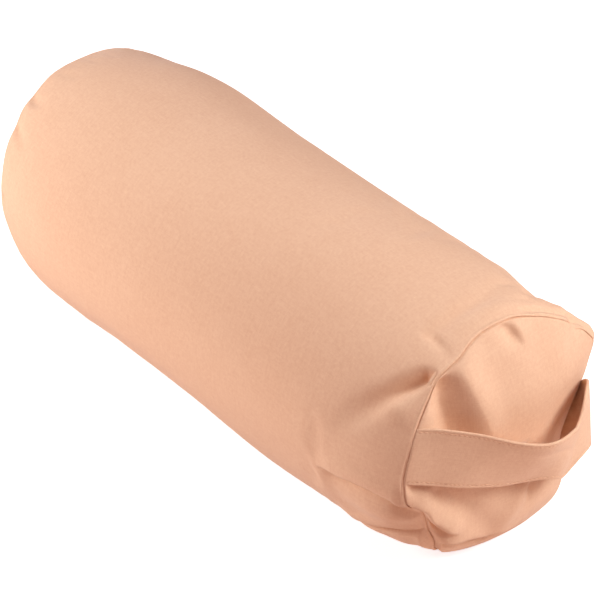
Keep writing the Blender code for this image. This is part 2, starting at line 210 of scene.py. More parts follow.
for name, place, size, power, colour in LAMPS:
    lamp = bpy.data.objects.new(name, bpy.data.lights.new(name, "AREA"))
    lamp.data.size = size
    lamp.data.energy = power
    lamp.data.color = colour
    lamp.visible_camera = False
    lamp.location = place
    lamp.rotation_mode = "QUATERNION"
    lamp.rotation_quaternion = (LAMP_AIM - Vector(place)).to_track_quat("-Z", "Y")
    bpy.context.scene.collection.objects.link(lamp)
print("lamps and floor are in place")

# %% [markdown]
# ## Numbers taken from the CAD part
#
# The cushion's axis lies along X, 109 mm above the floor. Angles are measured round the axis from +Y
# towards +Z. These values repeat those of the CAD source, so each visible piece lands on its solid.

# %% Sizes
RADIUS = 0.115
HALF_LENGTH = 0.255
HANDLE_END_ROUNDNESS = 8
PLAIN_END_ROUNDNESS = 7
MM_PER_DEGREE = RADIUS * 1000 * math.pi / 180
ZIP_ANGLE = 315.0
SLOT_HALF_WIDTH = 3.0
SLOT_HALF_LENGTH = 0.1533
print("one degree round the cover is", round(MM_PER_DEGREE, 2), "mm")

# %% Small helpers


def smooth_step(low, high, value):
    """0 below low, 1 above high, and a smooth S between them."""
    share = np.clip((value - low) / (high - low), 0, 1)
    return share * share * (3 - 2 * share)


def bell(distance, width):
    """A Gaussian of a distance: 1 in the middle, and a third at one width."""
    return np.exp(-(distance / width) ** 2)


def unit(vectors):
    """Vectors made one long."""
    return vectors / np.linalg.norm(vectors, axis=-1, keepdims=True)


def soft_floor(z, bend=0.0035):
    """Height pressed up to the floor where it is lower: the mean of z and the length of (z, bend)."""
    return (z + np.sqrt(z * z + bend * bend)) / 2


FINE_ANGLES = np.arange(0, 360, 0.25)


def softened(values, degrees):
    """Values round the circle, softened by a Gaussian of so many degrees on their Fourier series."""
    series = np.fft.rfft(values)
    series *= np.exp(-0.5 * (np.arange(len(series)) * math.radians(degrees)) ** 2)
    return np.fft.irfft(series, len(values))


def ring_values(table, degrees):
    """Values given at some angles, joined by straight lines round the circle, then softened."""
    angles, values = np.array(table, float).T
    return softened(np.interp(FINE_ANGLES, angles, values, period=360), degrees)


def on_ring(values, angle):
    """Those values at any angles, in degrees."""
    return np.interp(angle, FINE_ANGLES, values, period=360)


def line_distance(across, along, path):
    """Signed distance to a broken line, and how far along it the nearest point is, from 0 to 1.

    For each stretch of the line the nearest point is found by projection, and the nearest stretch wins.
    The sign is positive to the left of the line's direction.
    """
    path = np.array(path, float)
    steps = np.linalg.norm(np.diff(path, axis=0), axis=1)
    before = np.concatenate([[0], np.cumsum(steps)])
    best = np.full(np.shape(across), 1e9)
    side = np.ones_like(best)
    share = np.zeros_like(best)
    for start, end, length, done in zip(path[:-1], path[1:], steps, before):
        dx, dy = (end - start) / length
        px, py = across - start[0], along - start[1]
        reach = np.clip(px * dx + py * dy, 0, length)
        gap = np.hypot(px - reach * dx, py - reach * dy)
        nearer = gap < best
        best = np.where(nearer, gap, best)
        side = np.where(nearer, np.where(dx * py - dy * px >= 0, 1.0, -1.0), side)
        share = np.where(nearer, (done + reach) / before[-1], share)
    return best * side, share


def valley(across, along, path, width, end_width, depth, end_depth=0.0, hold=0.0):
    """A soft channel along a broken line: a Gaussian across it, its width and depth changing along it.

    The depth stays at its first value up to the share of the line called hold.
    """
    gap, share = line_distance(across, along, path)
    wide = width + (end_width - width) * share
    deep = depth + (end_depth - depth) * smooth_step(hold, 1, share)
    return -deep * bell(gap, wide)


def mound(across, along, at, wide, height):
    """A round bump, or a hollow where the height is negative: a Gaussian in both directions."""
    return height * np.exp(-((across - at[0]) / wide[0]) ** 2 - ((along - at[1]) / wide[1]) ** 2)


def fold_heights(across, along, table, units=(1, 1)):
    """The sum in mm of a table of folds.

    A row with a place, two widths and a height is a mound. A row with a path, a width and end width, a
    depth, and at will an end depth and a hold is a valley. Units turn the table's places into mm.
    """
    total = 0.0
    for where, *shape in table:
        fold = mound if len(shape) == 2 else valley
        total = total + fold(across, along, np.array(where, float) * units, *shape)
    return total


# %% [markdown]
# ## The seam at the strap's end
#
# On the real cushion the seam is not a clean circle: the stuffing pulls it in at the strap's two ends,
# a crease swallows a stretch of it below the strap, and at the floor it is tucked in under the bulge of
# the panel. So the seam is a closed line with its own radius and its own place along the cushion at
# each angle. Both the tube and the round panel are built to that one line.

# %% Seam lines
HANDLE_SEAM = [
    # angle, radius in mm, distance along the cushion in mm
    (2, 101, 250), (13, 104, 254), (24, 110.5, 259), (36, 107.4, 258.5), (41, 102.4, 256.5),
    (46, 105.6, 258), (57, 104, 256),
    (68.5, 103, 252), (81, 104.6, 249), (92, 103.4, 247), (100.4, 102.6, 246), (108, 102.0, 249),
    (114, 101.5, 251), (125.8, 104, 249), (134, 101, 251.5), (144.3, 99.5, 253), (160, 99.7, 257),
    (175, 100.5, 257), (186, 99.5, 258), (189.5, 97.5, 259), (195.5, 87.2, 262), (203, 86.6, 261),
    (211.5, 88.3, 258), (222, 92, 258), (228, 95.5, 257), (234, 102, 252), (241, 106.5, 245),
    (250, 109, 240), (270, 109.5, 238), (290, 111, 242), (303, 110.5, 248), (313, 107, 249),
    (321, 99, 247), (329, 93, 245.5), (345, 96.5, 245.5), (355, 100, 247),
]
PLAIN_SEAM = [
    (0, 99, 255), (30, 101, 254), (60, 101.5, 254), (90, 99, 254.5), (108, 100.5, 256), (122, 98, 254.5),
    (130, 99.5, 255), (138, 96, 252), (146, 97.5, 252), (165, 95.5, 249), (195, 95, 247), (230, 98, 247),
    (250, 104, 246), (270, 106, 244), (290, 104, 246), (320, 100, 252), (345, 98, 255),
]
handle_radius = ring_values([(a, r / 1000) for a, r, x in HANDLE_SEAM], 1.6)
handle_reach = ring_values([(a, x / 1000) for a, r, x in HANDLE_SEAM], 3.0)
plain_radius = ring_values([(a, r / 1000) for a, r, x in PLAIN_SEAM], 3.0)
plain_reach = ring_values([(a, -x / 1000) for a, r, x in PLAIN_SEAM], 5.0)
print("the strap's seam is", round(handle_radius.min() * 1000, 1), "to",
      round(handle_radius.max() * 1000, 1), "mm from the axis")

# %% [markdown]
# ## The folds of the cover
#
# Canvas over a firm filling makes few folds, and all of them start at a seam. Each one is written here
# as a height in millimetres over the smooth tube, at a distance from the strap's seam and an angle
# round the tube. The deep ones near the floor hang over: there the surface also slips round the tube,
# so that the upper fold covers the lower one.

# %% Tables of folds
ROUND_TUBE = (1, MM_PER_DEGREE)  # places are in mm from a seam and degrees round the tube
KINK = ((0, 126.5), (9, 127.5), (15, 132), (28, 142), (42, 151), (62, 162), (80, 170))
CREASE = ((92, 190), (66, 184.5), (45, 181.7), (26, 181.5), (10, 182.7), (3, 185.7), (-2, 189))
LIP = ((95, 222), (77, 219), (24, 210.5), (10, 210.5), (-3, 212))
STRAP_END_FOLDS = (
    # the big soft valley that runs back from the kink in the seam
    (KINK, 4.5, 13, 9.5, 0.0, 0.25),
    ((16, 145), (20, 13), 3.2),
    # a thumb-sized dimple behind the seam
    (((24, 113), (13, 114.5), (4, 115.5)), 4, 5, 3.0, 1.0),
    # a soft fold that runs beside the seam over the top, with a fuller strip between
    (((30, 113), (24, 103), (23, 92), (27, 82), (38, 68)), 5.5, 9, 3.4, 1.0),
    ((11, 92), (8, 34), 3.0),
    # the puffed shoulder at the right, with its pucker, and the groove between it and the seam
    ((13, 19), (16, 28), 10.0),
    ((11, 43), (11, 16), 4.6),
    (((26, 60), (36, 53), (46, 47), (58, 43)), 6, 12, 1.0, 5.0),
    (((4, 72), (4, 55), (4.5, 40), (4, 24)), 2.8, 3.2, 2.8, 3.2),
    ((5, 41), (6, 6), -4.0),
    (((0, 10), (34, 4)), 5, 9, 3.0),
    # the roll under the crease, and a small pucker that runs from it into the crease
    ((20, 201), (36, 12), 4.2),
    ((62, 205), (26, 14), -1.6),
    (((-1, 197), (8, 198), (20, 200)), 3, 5, 2.5),
    # the bulge above the floor
    ((16, 227), (15, 15), 3.5),
)
PLAIN_END_FOLDS = (
    (((0, 122), (20, 124), (38, 128)), 5, 9, 3.0),
    (((0, 138), (16, 141), (50, 148)), 4.5, 8, 2.6),
    ((12, 130), (12, 10), 1.6),
    ((26, 100), (28, 40), 1.8),
    ((10, 152), (12, 14), 1.2),
    *((((0, start), (30, end)), 4, 8, deep) for start, end, deep in (
        (20, 23, 1.8), (65, 61, 1.5), (175, 179, 1.7), (205, 200, 1.9), (340, 344, 1.6))),
)
# slow swellings from how the filling has settled: places and widths in mm along and degrees round
SETTLED = (
    ((100, 43), (130, 26), -3.4), ((212, 44), (24, 16), -3.4), ((-145, 55), (50, 22), 3.4),
    ((-215, 60), (22, 30), -1.6), ((60, 221), (60, 22), 1.2), ((110, 221), (75, 22), 3.2),
    ((-110, 221), (80, 26), -1.6), ((215, 226), (30, 16), 2.0), ((-40, 150), (110, 40), 0.9),
    ((20, 100), (60, 30), -0.8), ((-150, 80), (90, 35), 1.2),
)
print(len(STRAP_END_FOLDS), "folds at the strap's end,", len(PLAIN_END_FOLDS), "at the plain end")

# %% Fold heights


def hanging_line(inside, arc, line, rise_share):
    """Distance to a line on the tube, how far below it a point lies, and the fold's strength."""
    gap, share = line_distance(inside, arc, np.array(line) * ROUND_TUBE)
    return gap, np.maximum(-gap, 0), smooth_step(0.0, rise_share, share)


def cover_folds(inside, turn):
    """Height of the folds at the strap's end in mm, and how far the surface slips round the tube, in mm.

    inside is the distance from the strap's seam in mm, and turn is in degrees. The table's folds add up.
    The crease and the lip come on top, each full above its line and hollow below it.
    """
    arc = turn * MM_PER_DEGREE
    height = fold_heights(inside, arc, STRAP_END_FOLDS, ROUND_TUBE)
    # the upper side of the valley at the kink hangs over a little
    gap, share = line_distance(inside, arc, np.array(KINK) * ROUND_TUBE)
    slip = 1.6 * bell(gap, 3.4) * (1 - smooth_step(0.05, 0.42, share))
    # the crease that hangs over below the strap
    from_edge = smooth_step(-2, 14, inside)
    gap, below, strength = hanging_line(inside, arc, CREASE, 0.42)
    hollow = 2.6 - (3.5 + 10 * from_edge) * smooth_step(0, 3.2, below)
    hollow *= bell(np.maximum(below - 8, 0), 10)
    height += strength * np.where(gap > 0, 2.6 * bell(gap, 8), hollow)
    slip += strength * 6.5 * bell(gap, 3.4)
    # the lip where the cover turns in above the floor
    gap, below, strength = hanging_line(inside, arc, LIP, 0.4)
    hollow = 2.0 - (2 + 4.5 * from_edge) * smooth_step(0, 3.0, below)
    hollow += 6.0 * smooth_step(3.0, 15, below) - 3.5 * smooth_step(22, 50, below)
    height += strength * np.where(gap > 0, 2.0 * bell(gap, 7), hollow)
    slip += strength * 2.6 * bell(gap, 2.6)
    return height, slip


probe, _ = cover_folds(np.array([5.0, 12.0]), np.array([126.5, 205.0]))
print("valley and roll heights in mm", np.round(probe, 1))

# %% [markdown]
# ## The tube of the cover
#
# The tube is one surface of two parameters: how far along the cushion, and the angle round it. Its
# radius is the full 115 mm less a draw-in that grows with a high power of the distance from the middle,
# which keeps the body straight and rounds its ends, as a firm filling does. The floor presses the
# underside flat. Writing the shape as a formula keeps every fold editable, and lets other pieces, such
# as the cushion inside, be worked out from the same surface.

# %% Tube surface
SLOW_SWELL = 9  # degrees round the seam


def seam_parts(radius, angle):
    """A seam's radius, split in its slow swell and its local tucks."""
    slow = on_ring(softened(radius, SLOW_SWELL), angle)
    return slow, on_ring(radius, angle) - slow


def tube_surface(along, angle, ripple=None):
    """Points of the cover's tube, in metres, as an array of rows by columns by three.

    x runs from the plain seam to the handle seam as along goes from 0 to 1.
    Radius = full radius - draw-in * (x / seam x) ** roundness + seam tucks + folds + ripples.
    """
    along, angle = np.broadcast_arrays(along, angle)
    turn = np.mod(angle, 360)
    far, near = on_ring(plain_reach, angle), on_ring(handle_reach, angle)
    x = far + (near - far) * along
    from_near = np.maximum(near - x, 0) * 1000
    from_far = np.maximum(x - far, 0) * 1000
    near_slow, near_tuck = seam_parts(handle_radius, angle)
    far_slow, far_tuck = seam_parts(plain_radius, angle)
    radius = RADIUS - (RADIUS - near_slow) * np.clip(x / near, 0, 1) ** HANDLE_END_ROUNDNESS
    radius -= (RADIUS - far_slow) * np.clip(x / far, 0, 1) ** PLAIN_END_ROUNDNESS
    radius += near_tuck * np.exp(-(from_near / 15) ** 1.3) + far_tuck * np.exp(-(from_far / 15) ** 1.3)
    height, slip = cover_folds(from_near, turn)
    height *= smooth_step(-1, 7, from_near)
    far_height = fold_heights(from_far, turn * MM_PER_DEGREE, PLAIN_END_FOLDS, ROUND_TUBE)
    height += far_height * smooth_step(-1, 7, from_far) + fold_heights(x * 1000, turn, SETTLED)
    if ripple is not None:
        photographed = np.exp(-((turn - 150) / 85) ** 6)
        height += ripple(along, angle) * (1 - photographed * (1 - smooth_step(50, 120, from_near)))
    off_zip = smooth_step(9, 30, np.abs(np.mod(angle - ZIP_ANGLE + 180, 360) - 180))
    radius += height * off_zip / 1000
    turned = np.radians(angle + slip * off_zip * smooth_step(-1, 4, from_near) / MM_PER_DEGREE)
    z = soft_floor(AXIS_HEIGHT + radius * np.sin(turned))
    return np.stack([x, radius * np.cos(turned), z], axis=-1)


# %% Mesh helpers


def grid_faces(rows, columns):
    """Corners of the quads of a grid that closes round. Rows that run towards -X face outwards."""
    row, column = np.meshgrid(np.arange(rows - 1), np.arange(columns), indexing="ij")
    here, beside = row * columns + column, row * columns + (column + 1) % columns
    return np.stack([here, here + columns, beside + columns, beside], axis=-1).reshape(-1, 4)


def new_piece(name, points, faces):
    """A smooth mesh object from points and faces, linked to the scene, at the origin."""
    mesh = bpy.data.meshes.new(name)
    corners = [list(map(int, face)) for face in faces]
    mesh.from_pydata(np.asarray(points).reshape(-1, 3).tolist(), [], corners)
    mesh.shade_smooth()
    piece = bpy.data.objects.new(name, mesh)
    bpy.context.scene.collection.objects.link(piece)
    return piece


def new_tube(name, rings):
    """A piece from rings of points, with both ends capped."""
    count, around = rings.shape[:2]
    ends = [range(around), range(count * around - 1, (count - 1) * around - 1, -1)]
    return new_piece(name, rings, [*grid_faces(count, around), *ends])


def new_disc(name, rings, pole, side):
    """A round piece from rings of points between its rim and its pole, facing +X for side 1."""
    count, around = rings.shape[:2]
    last = (count - 1) * around + np.arange(around)
    fan = np.stack([last, np.full(around, count * around), np.roll(last, -1)], axis=-1)
    faces = [face[::-side] for face in (*grid_faces(count, around), *fan)]  # side 1 turns them round
    return new_piece(name, np.concatenate([rings.reshape(-1, 3), pole]), faces)


def add_wall(piece, thickness):
    """Gives a sheet its thickness, inwards."""
    wall = piece.modifiers.new("wall", "SOLIDIFY")
    wall.thickness = thickness
    wall.offset = -1


def vertex_points(mesh):
    """A mesh's vertex coordinates, as rows of three."""
    points = np.empty(len(mesh.vertices) * 3, np.float32)
    mesh.vertices.foreach_get("co", points)
    return points.reshape(-1, 3).astype(float)


# %% [markdown]
# ## Ripples from a cloth simulation
#
# The small unevenness of stuffed canvas comes from the cloth itself: it is a little longer than the
# shape that it covers, and the filling pushes it out. Blender's Cloth gives that for nothing. A light
# tube with both seams pinned is blown up for twenty frames with cloth that is two per cent too long.
# Only what differs from an even swelling is kept, capped at a few millimetres, and it is added to the
# formula above.

# %% Simulate the ripples
SIM_COLUMNS = 150
SIM_ROWS = 96
SIM_FRAMES = 20
SLACK = 0.022
CLOTH = {"quality": 6, "mass": 0.35, "tension_stiffness": 25, "compression_stiffness": 25,
         "shear_stiffness": 8, "bending_stiffness": 0.8, "vertex_group_mass": "pins",
         "shrink_min": -SLACK, "use_pressure": True, "uniform_pressure_force": 4}
EVEN_WAVES = 4  # waves round the tube that count as even swelling
RIPPLE_CAP = 2.6
RIPPLE_SHARE = 0.8


def first_push(along, angle):
    """Small swellings in mm that start the ripples: three sets of sines, two beside the seams."""
    waves = np.sin(np.radians(angle * 17 + 40)) * np.exp(-(1 - along) / 0.08)
    waves = waves + np.sin(np.radians(angle * 13)) * np.exp(-along / 0.08)
    slant = np.sin(along * 23 + np.radians(angle * 3)) * np.sin(np.radians(angle * 5 + 70 * along))
    return 0.25 * (waves + 0.5 * slant)


def simulated_ripples():
    """Cloth ripples in mm on a grid of along by angle, from a tube blown up for a few frames."""
    along = np.linspace(0, 1, SIM_ROWS)[:, None]
    angle = np.arange(SIM_COLUMNS) * 360 / SIM_COLUMNS
    start = tube_surface(along, angle, ripple=first_push)
    tube = new_piece("ripple_tube", start, grid_faces(SIM_ROWS, SIM_COLUMNS)[:, ::-1])
    seam = np.arange(SIM_COLUMNS)
    pins = tube.vertex_groups.new(name="pins")
    pins.add([*seam.tolist(), *(seam + (SIM_ROWS - 1) * SIM_COLUMNS).tolist()], 1.0, "REPLACE")
    cloth = tube.modifiers.new("cloth", "CLOTH")
    for key, value in CLOTH.items():
        setattr(cloth.settings, key, value)
    cloth.settings.effector_weights.gravity = 0
    cloth.point_cache.frame_start = 1
    cloth.point_cache.frame_end = SIM_FRAMES
    scene = bpy.context.scene
    for number in range(1, SIM_FRAMES + 1):
        scene.frame_set(number)
    seen = tube.evaluated_get(bpy.context.evaluated_depsgraph_get())
    moved = (vertex_points(seen.data).reshape(start.shape) - start) * 1000
    bpy.data.objects.remove(tube)
    scene.frame_set(1)
    turn = np.radians(angle)
    swell = moved[..., 1] * np.cos(turn) + moved[..., 2] * np.sin(turn)
    print("cloth moved", round(float(np.abs(swell).max()), 1), "mm at most")
    series = np.fft.rfft(swell, axis=1)
    series[:, :EVEN_WAVES] = 0
    swell = np.fft.irfft(series, SIM_COLUMNS, axis=1)
    return RIPPLE_CAP * np.tanh(swell / RIPPLE_CAP)


def ripple_reader(grid, strength):
    """A function that reads the ripple grid at any along and angle, by lines between its points."""
    rows, columns = grid.shape

    def read(along, angle):
        place = np.clip(along, 0, 1) * (rows - 1)
        low = np.minimum(place.astype(int), rows - 2)
        part = place - low
        turn = np.mod(angle, 360) * columns / 360
        left = turn.astype(int) % columns
        right = (left + 1) % columns
        share = turn - np.floor(turn)
        upper = grid[low, left] * (1 - share) + grid[low, right] * share
        lower = grid[low + 1, left] * (1 - share) + grid[low + 1, right] * share
        return strength * (upper * (1 - part) + lower * part)

    return read


ripples = ripple_reader(simulated_ripples(), RIPPLE_SHARE)

# %% [markdown]
# ## Build the tube
#
# The grid is finer where the folds are. Beside the seam the cloth rises in a thin rounded edge, because
# the seam allowance lies under it, and then turns in. That edge is given as a few extra rows. A slot is
# left open for the zip, and Solidify gives the canvas its thickness.

# %% Tube grid


def spaced(*stretches):
    """Numbers from several stretches of (start, end, step), joined in order, without the last end."""
    return np.concatenate([np.linspace(a, b, max(int(round((b - a) / step)), 1), endpoint=False)
                           for a, b, step in stretches])


columns = spaced((0, 21, 1.0), (21, 60, 0.9), (60, 120, 1.2), (120, 180, 0.75), (180, 234, 0.45),
                 (234, 306, 1.5), (306, 312, 1.0), (312, 314, 0.5), (314, 316, 0.2), (316, 318, 0.5),
                 (318, 324, 1.0), (324, 360, 1.5))
from_seam = spaced((0.4, 2.4, 0.4), (2.4, 9, 0.9), (9, 36, 1.3), (36, 98, 2.4))
far_rows = spaced((0.4, 2.4, 0.5), (2.4, 40, 2.4), (40, 101.7, 5.5))
total = (on_ring(handle_reach, columns) - on_ring(plain_reach, columns)) * 1000
print("the tube has", len(columns), "columns")
print("it is", round(total.min()), "to", round(total.max()), "mm long")

# the rows in between fall on the two ends of the zip's slot
nominal = HALF_LENGTH * 2000
slot_rows = np.array([nominal / 2 - SLOT_HALF_LENGTH * 1000, nominal / 2 + SLOT_HALF_LENGTH * 1000])
near_rows = np.concatenate([[0.0], from_seam, np.linspace(slot_rows[0], slot_rows[1], 60)])
row_from_near = np.concatenate([near_rows, nominal - far_rows[::-1], [nominal]])
along_rows = 1 - row_from_near / nominal

EDGE_RISE = 0.42
LONG_SEAM_RISE = 0.40


def edge_height(distance):
    """Height in mm of the rounded edge beside a seam: a narrow Gaussian, cut off at the seam."""
    return EDGE_RISE * bell(distance - 1.1, 0.7) - 0.5 * bell(distance, 0.45)


def long_seam_height(distance, along):
    """Height in mm of the long seam beyond the zip: the same rounded edge on both sides of a groove.

    distance is the arc from the seam, and along is how far beyond the slot's end the point lies.
    """
    edges = LONG_SEAM_RISE * bell(np.abs(distance) - 1.5, 0.9)
    return (edges - 0.9 * bell(distance, 0.45)) * smooth_step(0.5, 4, along)


# %% Tube mesh
body = tube_surface(along_rows[:, None], columns, ripple=ripples)
beside_near = edge_height(row_from_near)[:, None]
beside_far = edge_height(nominal - row_from_near)[:, None]
turn = np.radians(columns)
beyond_slot = np.maximum(slot_rows[0] - row_from_near, row_from_near - slot_rows[1])[:, None]
long_seam = long_seam_height((columns - ZIP_ANGLE) * MM_PER_DEGREE, beyond_slot)
lift = (beside_near + beside_far + long_seam) / 1000
body[..., 1] += lift * np.cos(turn)
body[..., 2] = np.maximum(body[..., 2] + lift * np.sin(turn), 0.0)


def tucked(ring, steps, side):
    """Rows that turn a rim inwards: each step is so far along and so far towards the axis, in mm."""
    out = unit(ring * (0, 1, 1) - (0, 0, AXIS_HEIGHT))
    return np.array([ring - (side * back / 1000, 0, 0) - out * inwards / 1000
                     for back, inwards in steps])


TUCK = ((0.15, 0.2), (0.6, 0.4), (1.8, 0.7), (3.4, 2.6), (5.0, 4.2))
near_tuck = tucked(body[0], TUCK, 1)[::-1]
far_tuck = tucked(body[-1], TUCK, -1)
tube_points = np.concatenate([near_tuck, body, far_tuck])
tube_rows = len(tube_points)
faces = grid_faces(tube_rows, len(columns))
slot_columns = [np.argmin(np.abs(columns - ZIP_ANGLE - d)) for d in (-SLOT_HALF_WIDTH, SLOT_HALF_WIDTH)]
slot_span = [len(TUCK) + np.argmin(np.abs(row_from_near - s)) for s in slot_rows]
face_row, face_column = np.divmod(np.arange(len(faces)), len(columns))
in_slot = ((face_row >= slot_span[0]) & (face_row < slot_span[1])
           & (face_column >= slot_columns[0]) & (face_column < slot_columns[1]))
cover_body = new_piece("canvas_tube", tube_points, faces[~in_slot])
print("canvas tube:", tube_rows, "rows,", len(cover_body.data.polygons), "faces")

# %% [markdown]
# ## The round end panels
#
# A round of canvas closes each end. The filling bulges it, most of all low down where the weight sits,
# and the strap and the seam pull it in. It is a surface of two parameters, the share of the way out to
# the seam and the angle, so its rim is the very line that the tube ends on. Its edge turns into the
# seam and leaves a narrow dark gap beside the tube's rounded edge.

# %% Tables of the panels' folds


def polar(distance, degrees):
    """A place at a distance from the axis and an angle, as how far across and how far up it is."""
    return distance * math.cos(math.radians(degrees)), distance * math.sin(math.radians(degrees))


handle_steepness = ring_values([
    (0, 1.05), (45, 0.85), (90, 0.9), (150, 0.8), (190, 0.7), (225, 0.45), (270, 0.33), (305, 0.32),
    (316, 0.42), (325, 0.8), (333, 1.1), (345, 1.15)], 4)
HANDLE_PLANE, HANDLE_SWELL = 252, 26
# places are mm across and mm up from the cushion's axis
HANDLE_SWELLINGS = (((15, -73), (73, 43), 12.5), ((30, 40), (40, 40), 2))
HANDLE_FOLDS = (
    # beside the recess, above the strap
    (((-60, 58), (-62, 48), (-64, 34)), 6, 8, 2.0, 2.0),
    ((-6, 66), (16, 12), -0.8), ((36, 62), (10, 22), -0.9), ((58, 36), (12, 26), 0.9),
    ((-87, 3), (13, 9), -5.0),
    # under the strap: a soft trough that runs down to the right, a full fold before it, a ridge after
    (((-66, -10), (-54, -28), (-41, -46), (-28, -62), (-20, -74)), 11, 12, 7, 2),
    ((-60, -42), (11, 13), 2.0),
    (((8, -28), (-3, -48), (-14, -68)), 8, 8, -4.0, -2.0),
    ((12, -44), (5, 9), -4.0),
)
OVERHANGS = (
    # path, rise, drop, step at both ends, width, slide across and up
    # the deep recess beside the kink in the seam: its right wall is long and steep
    (((-45, 106), (-44, 92), (-42, 84), (-38, 69), (-35, 58), (-30, 39), (-24, 8)),
     4.0, 14.5, (12, 33), 13, (0, 0)),
    # a pucker under the seam at the top: its right side stands over its left side
    (((11, 130), (15, 109), (18, 96), (22, 80)), 1.5, 5.2, (13, 4), 8, (0, 0)),
    # the crease under the strap, and the lip where the panel turns in above the floor
    (((-96, -12), (-86, -21), (-72, -36), (-60, -50), (-52, -60)),
     3.0, 9.0, (3.2, 3.2), 8, (-2.5, -3.5)),
    (((-92, -56), (-68, -65), (-46, -67), (-27, -74), (-12, -76), (14, -80)),
     2.0, 6.0, (2.6, 2.6), 7, (0, -2.1)),
)
PLAIN_PLANE, PLAIN_SWELL, PLAIN_STEEPNESS = 250, 33, 0.8
PLAIN_SWELLINGS = (((-40, 10), (40, 60), -4), ((20, -50), (50, 36), 5))
PLAIN_FOLDS = (
    # short folds from 97 to 70 mm from the axis
    *(((polar(97, start), polar(70, end)), 5, 9, deep) for start, end, deep in (
        (18, 21, 2.5), (62, 58, 2.0), (96, 99, 2.2), (122, 119, 3.0), (140, 144, 2.6),
        (172, 168, 2.4), (205, 209, 3.0), (238, 235, 3.2), (300, 304, 3.0), (338, 335, 2.2))),
    ((-10, 20), (30, 22), 0.9), ((35, -20), (24, 30), -0.9),
)

# %% Panel surfaces


def overhang(across, up, path, rise, drop, step, wide):
    """A crease whose upper side hangs over its lower side: its height in mm, and a bell about its line.

    Above the line the height is rise, fading as a Gaussian. Below it the height falls by drop within
    step, which goes from its first to its second value along the line, then recovers.
    """
    gap, share = line_distance(across, up, path)
    strength = smooth_step(0.0, 0.3, share) * (1 - smooth_step(0.72, 1.0, share))
    below = np.maximum(-gap, 0)
    reach = step[0] + (step[1] - step[0]) * share
    fall = 0.4 * np.clip(below / reach, 0, 1) + 0.6 * smooth_step(0, 1, below / reach)
    height = np.where(gap > 0, rise * bell(gap, wide),
                      (rise - drop * fall) * bell(np.maximum(below - reach, 0), wide))
    return strength * height, strength * bell(gap, step[0] * 1.1)


def flat_panel(ring, angle, seam_radius):
    """A panel before it swells: how far across and up it lies in mm, and 1 - ring squared."""
    slow, tuck = seam_parts(seam_radius, angle)
    radius = (ring * slow + ring ** 8 * tuck) * 1000
    turn = np.radians(angle)
    return radius * np.cos(turn), radius * np.sin(turn), np.clip(1 - ring ** 2, 0, 1)


def panel_points(x, across, up):
    """Points in metres from millimetres along, across and up from the axis."""
    return np.stack([x / 1000, across / 1000, soft_floor(AXIS_HEIGHT + up / 1000)], axis=-1)


def handle_panel(ring, angle):
    """Points of the strap's end panel for ring from 0 in the middle to 1 at the seam, and an angle.

    x = a mix of the panel's plane and the seam + swell * (1 - ring squared) ** steepness + folds.
    """
    ring, angle = np.broadcast_arrays(ring, angle)
    across, up, fall = flat_panel(ring, angle, handle_radius)
    swell = HANDLE_SWELL + fold_heights(across, up, HANDLE_SWELLINGS)
    x = HANDLE_PLANE + (on_ring(handle_reach, angle) * 1000 - HANDLE_PLANE) * ring ** 3
    x = x + swell * fall ** on_ring(handle_steepness, angle)
    folds, slide = fold_heights(across, up, HANDLE_FOLDS), 0.0
    for path, rise, drop, step, wide, way in OVERHANGS:
        height, near_line = overhang(across, up, path, rise, drop, step, wide)
        folds = folds + height
        slide = slide + near_line[..., None] * way
    inner = 1 - smooth_step(0.93, 1.0, ring)
    return panel_points(x + folds * inner, across + slide[..., 0] * inner, up + slide[..., 1] * inner)


def plain_panel(ring, angle):
    """Points of the plain end panel: the same surface with a rounder crown and only shallow dents."""
    ring, angle = np.broadcast_arrays(ring, angle)
    across, up, fall = flat_panel(ring, angle, plain_radius)
    across, up = across + 8 * fall, up - 9 * fall
    swell = PLAIN_SWELL + fold_heights(across, up, PLAIN_SWELLINGS)
    x = PLAIN_PLANE + (-on_ring(plain_reach, angle) * 1000 - PLAIN_PLANE) * ring ** 3
    x = x + swell * fall ** PLAIN_STEEPNESS
    inner = 1 - smooth_step(0.90, 1.0, ring)
    return panel_points(-(x + fold_heights(across, up, PLAIN_FOLDS) * inner), across, up)


def pole_of(surface):
    """The middle point of a panel."""
    return surface(np.zeros(1), np.zeros(1))


# %% Panel meshes
PANEL_TUCK = ((0.3, -0.1), (1.0, -0.15), (2.2, -0.3), (3.4, -1.2), (5.0, -2.4))
RIM_GAP = ring_values([(0, 1.7), (50, 1.9), (115, 1.9), (132, 1.3), (150, 1.0), (200, 1.0), (240, 1.2),
                       (330, 1.4)], 5)
FOOT_OUT = 0.0004  # how far beyond the seam the foot ring may lie
ring_gaps = spaced((0, 0.4, 0.4), (0.4, 6, 0.8), (6, 56, 1.5), (56, 95, 3.0))


def panel_mesh(name, surface, seam_radius, seam_reach, side):
    """A round panel: rings from the tucked rim to the pole in the middle, where one point closes it.

    Where the filling swells the panel right at the seam, a foot ring takes its edge back to the seam.
    """
    rim = on_ring(seam_radius, columns) * 1000
    ring = 1 - (on_ring(RIM_GAP, columns) + ring_gaps[:, None]) / rim
    rows = surface(ring, columns)
    foot = rows[0].copy()
    seam_x = on_ring(seam_reach, columns) + side * FOOT_OUT
    foot[:, 0] = side * np.minimum(side * foot[:, 0], side * seam_x)
    rows = np.concatenate([tucked(foot, PANEL_TUCK, side)[::-1], foot[None], rows])
    piece = new_disc(name, rows, pole_of(surface), side)
    print(name, "has", len(piece.data.polygons), "faces")
    return piece


panel_handle = panel_mesh("canvas_panel_strap_end", handle_panel, handle_radius, handle_reach, 1)
panel_plain = panel_mesh("canvas_panel_plain_end", plain_panel, plain_radius, plain_reach, -1)

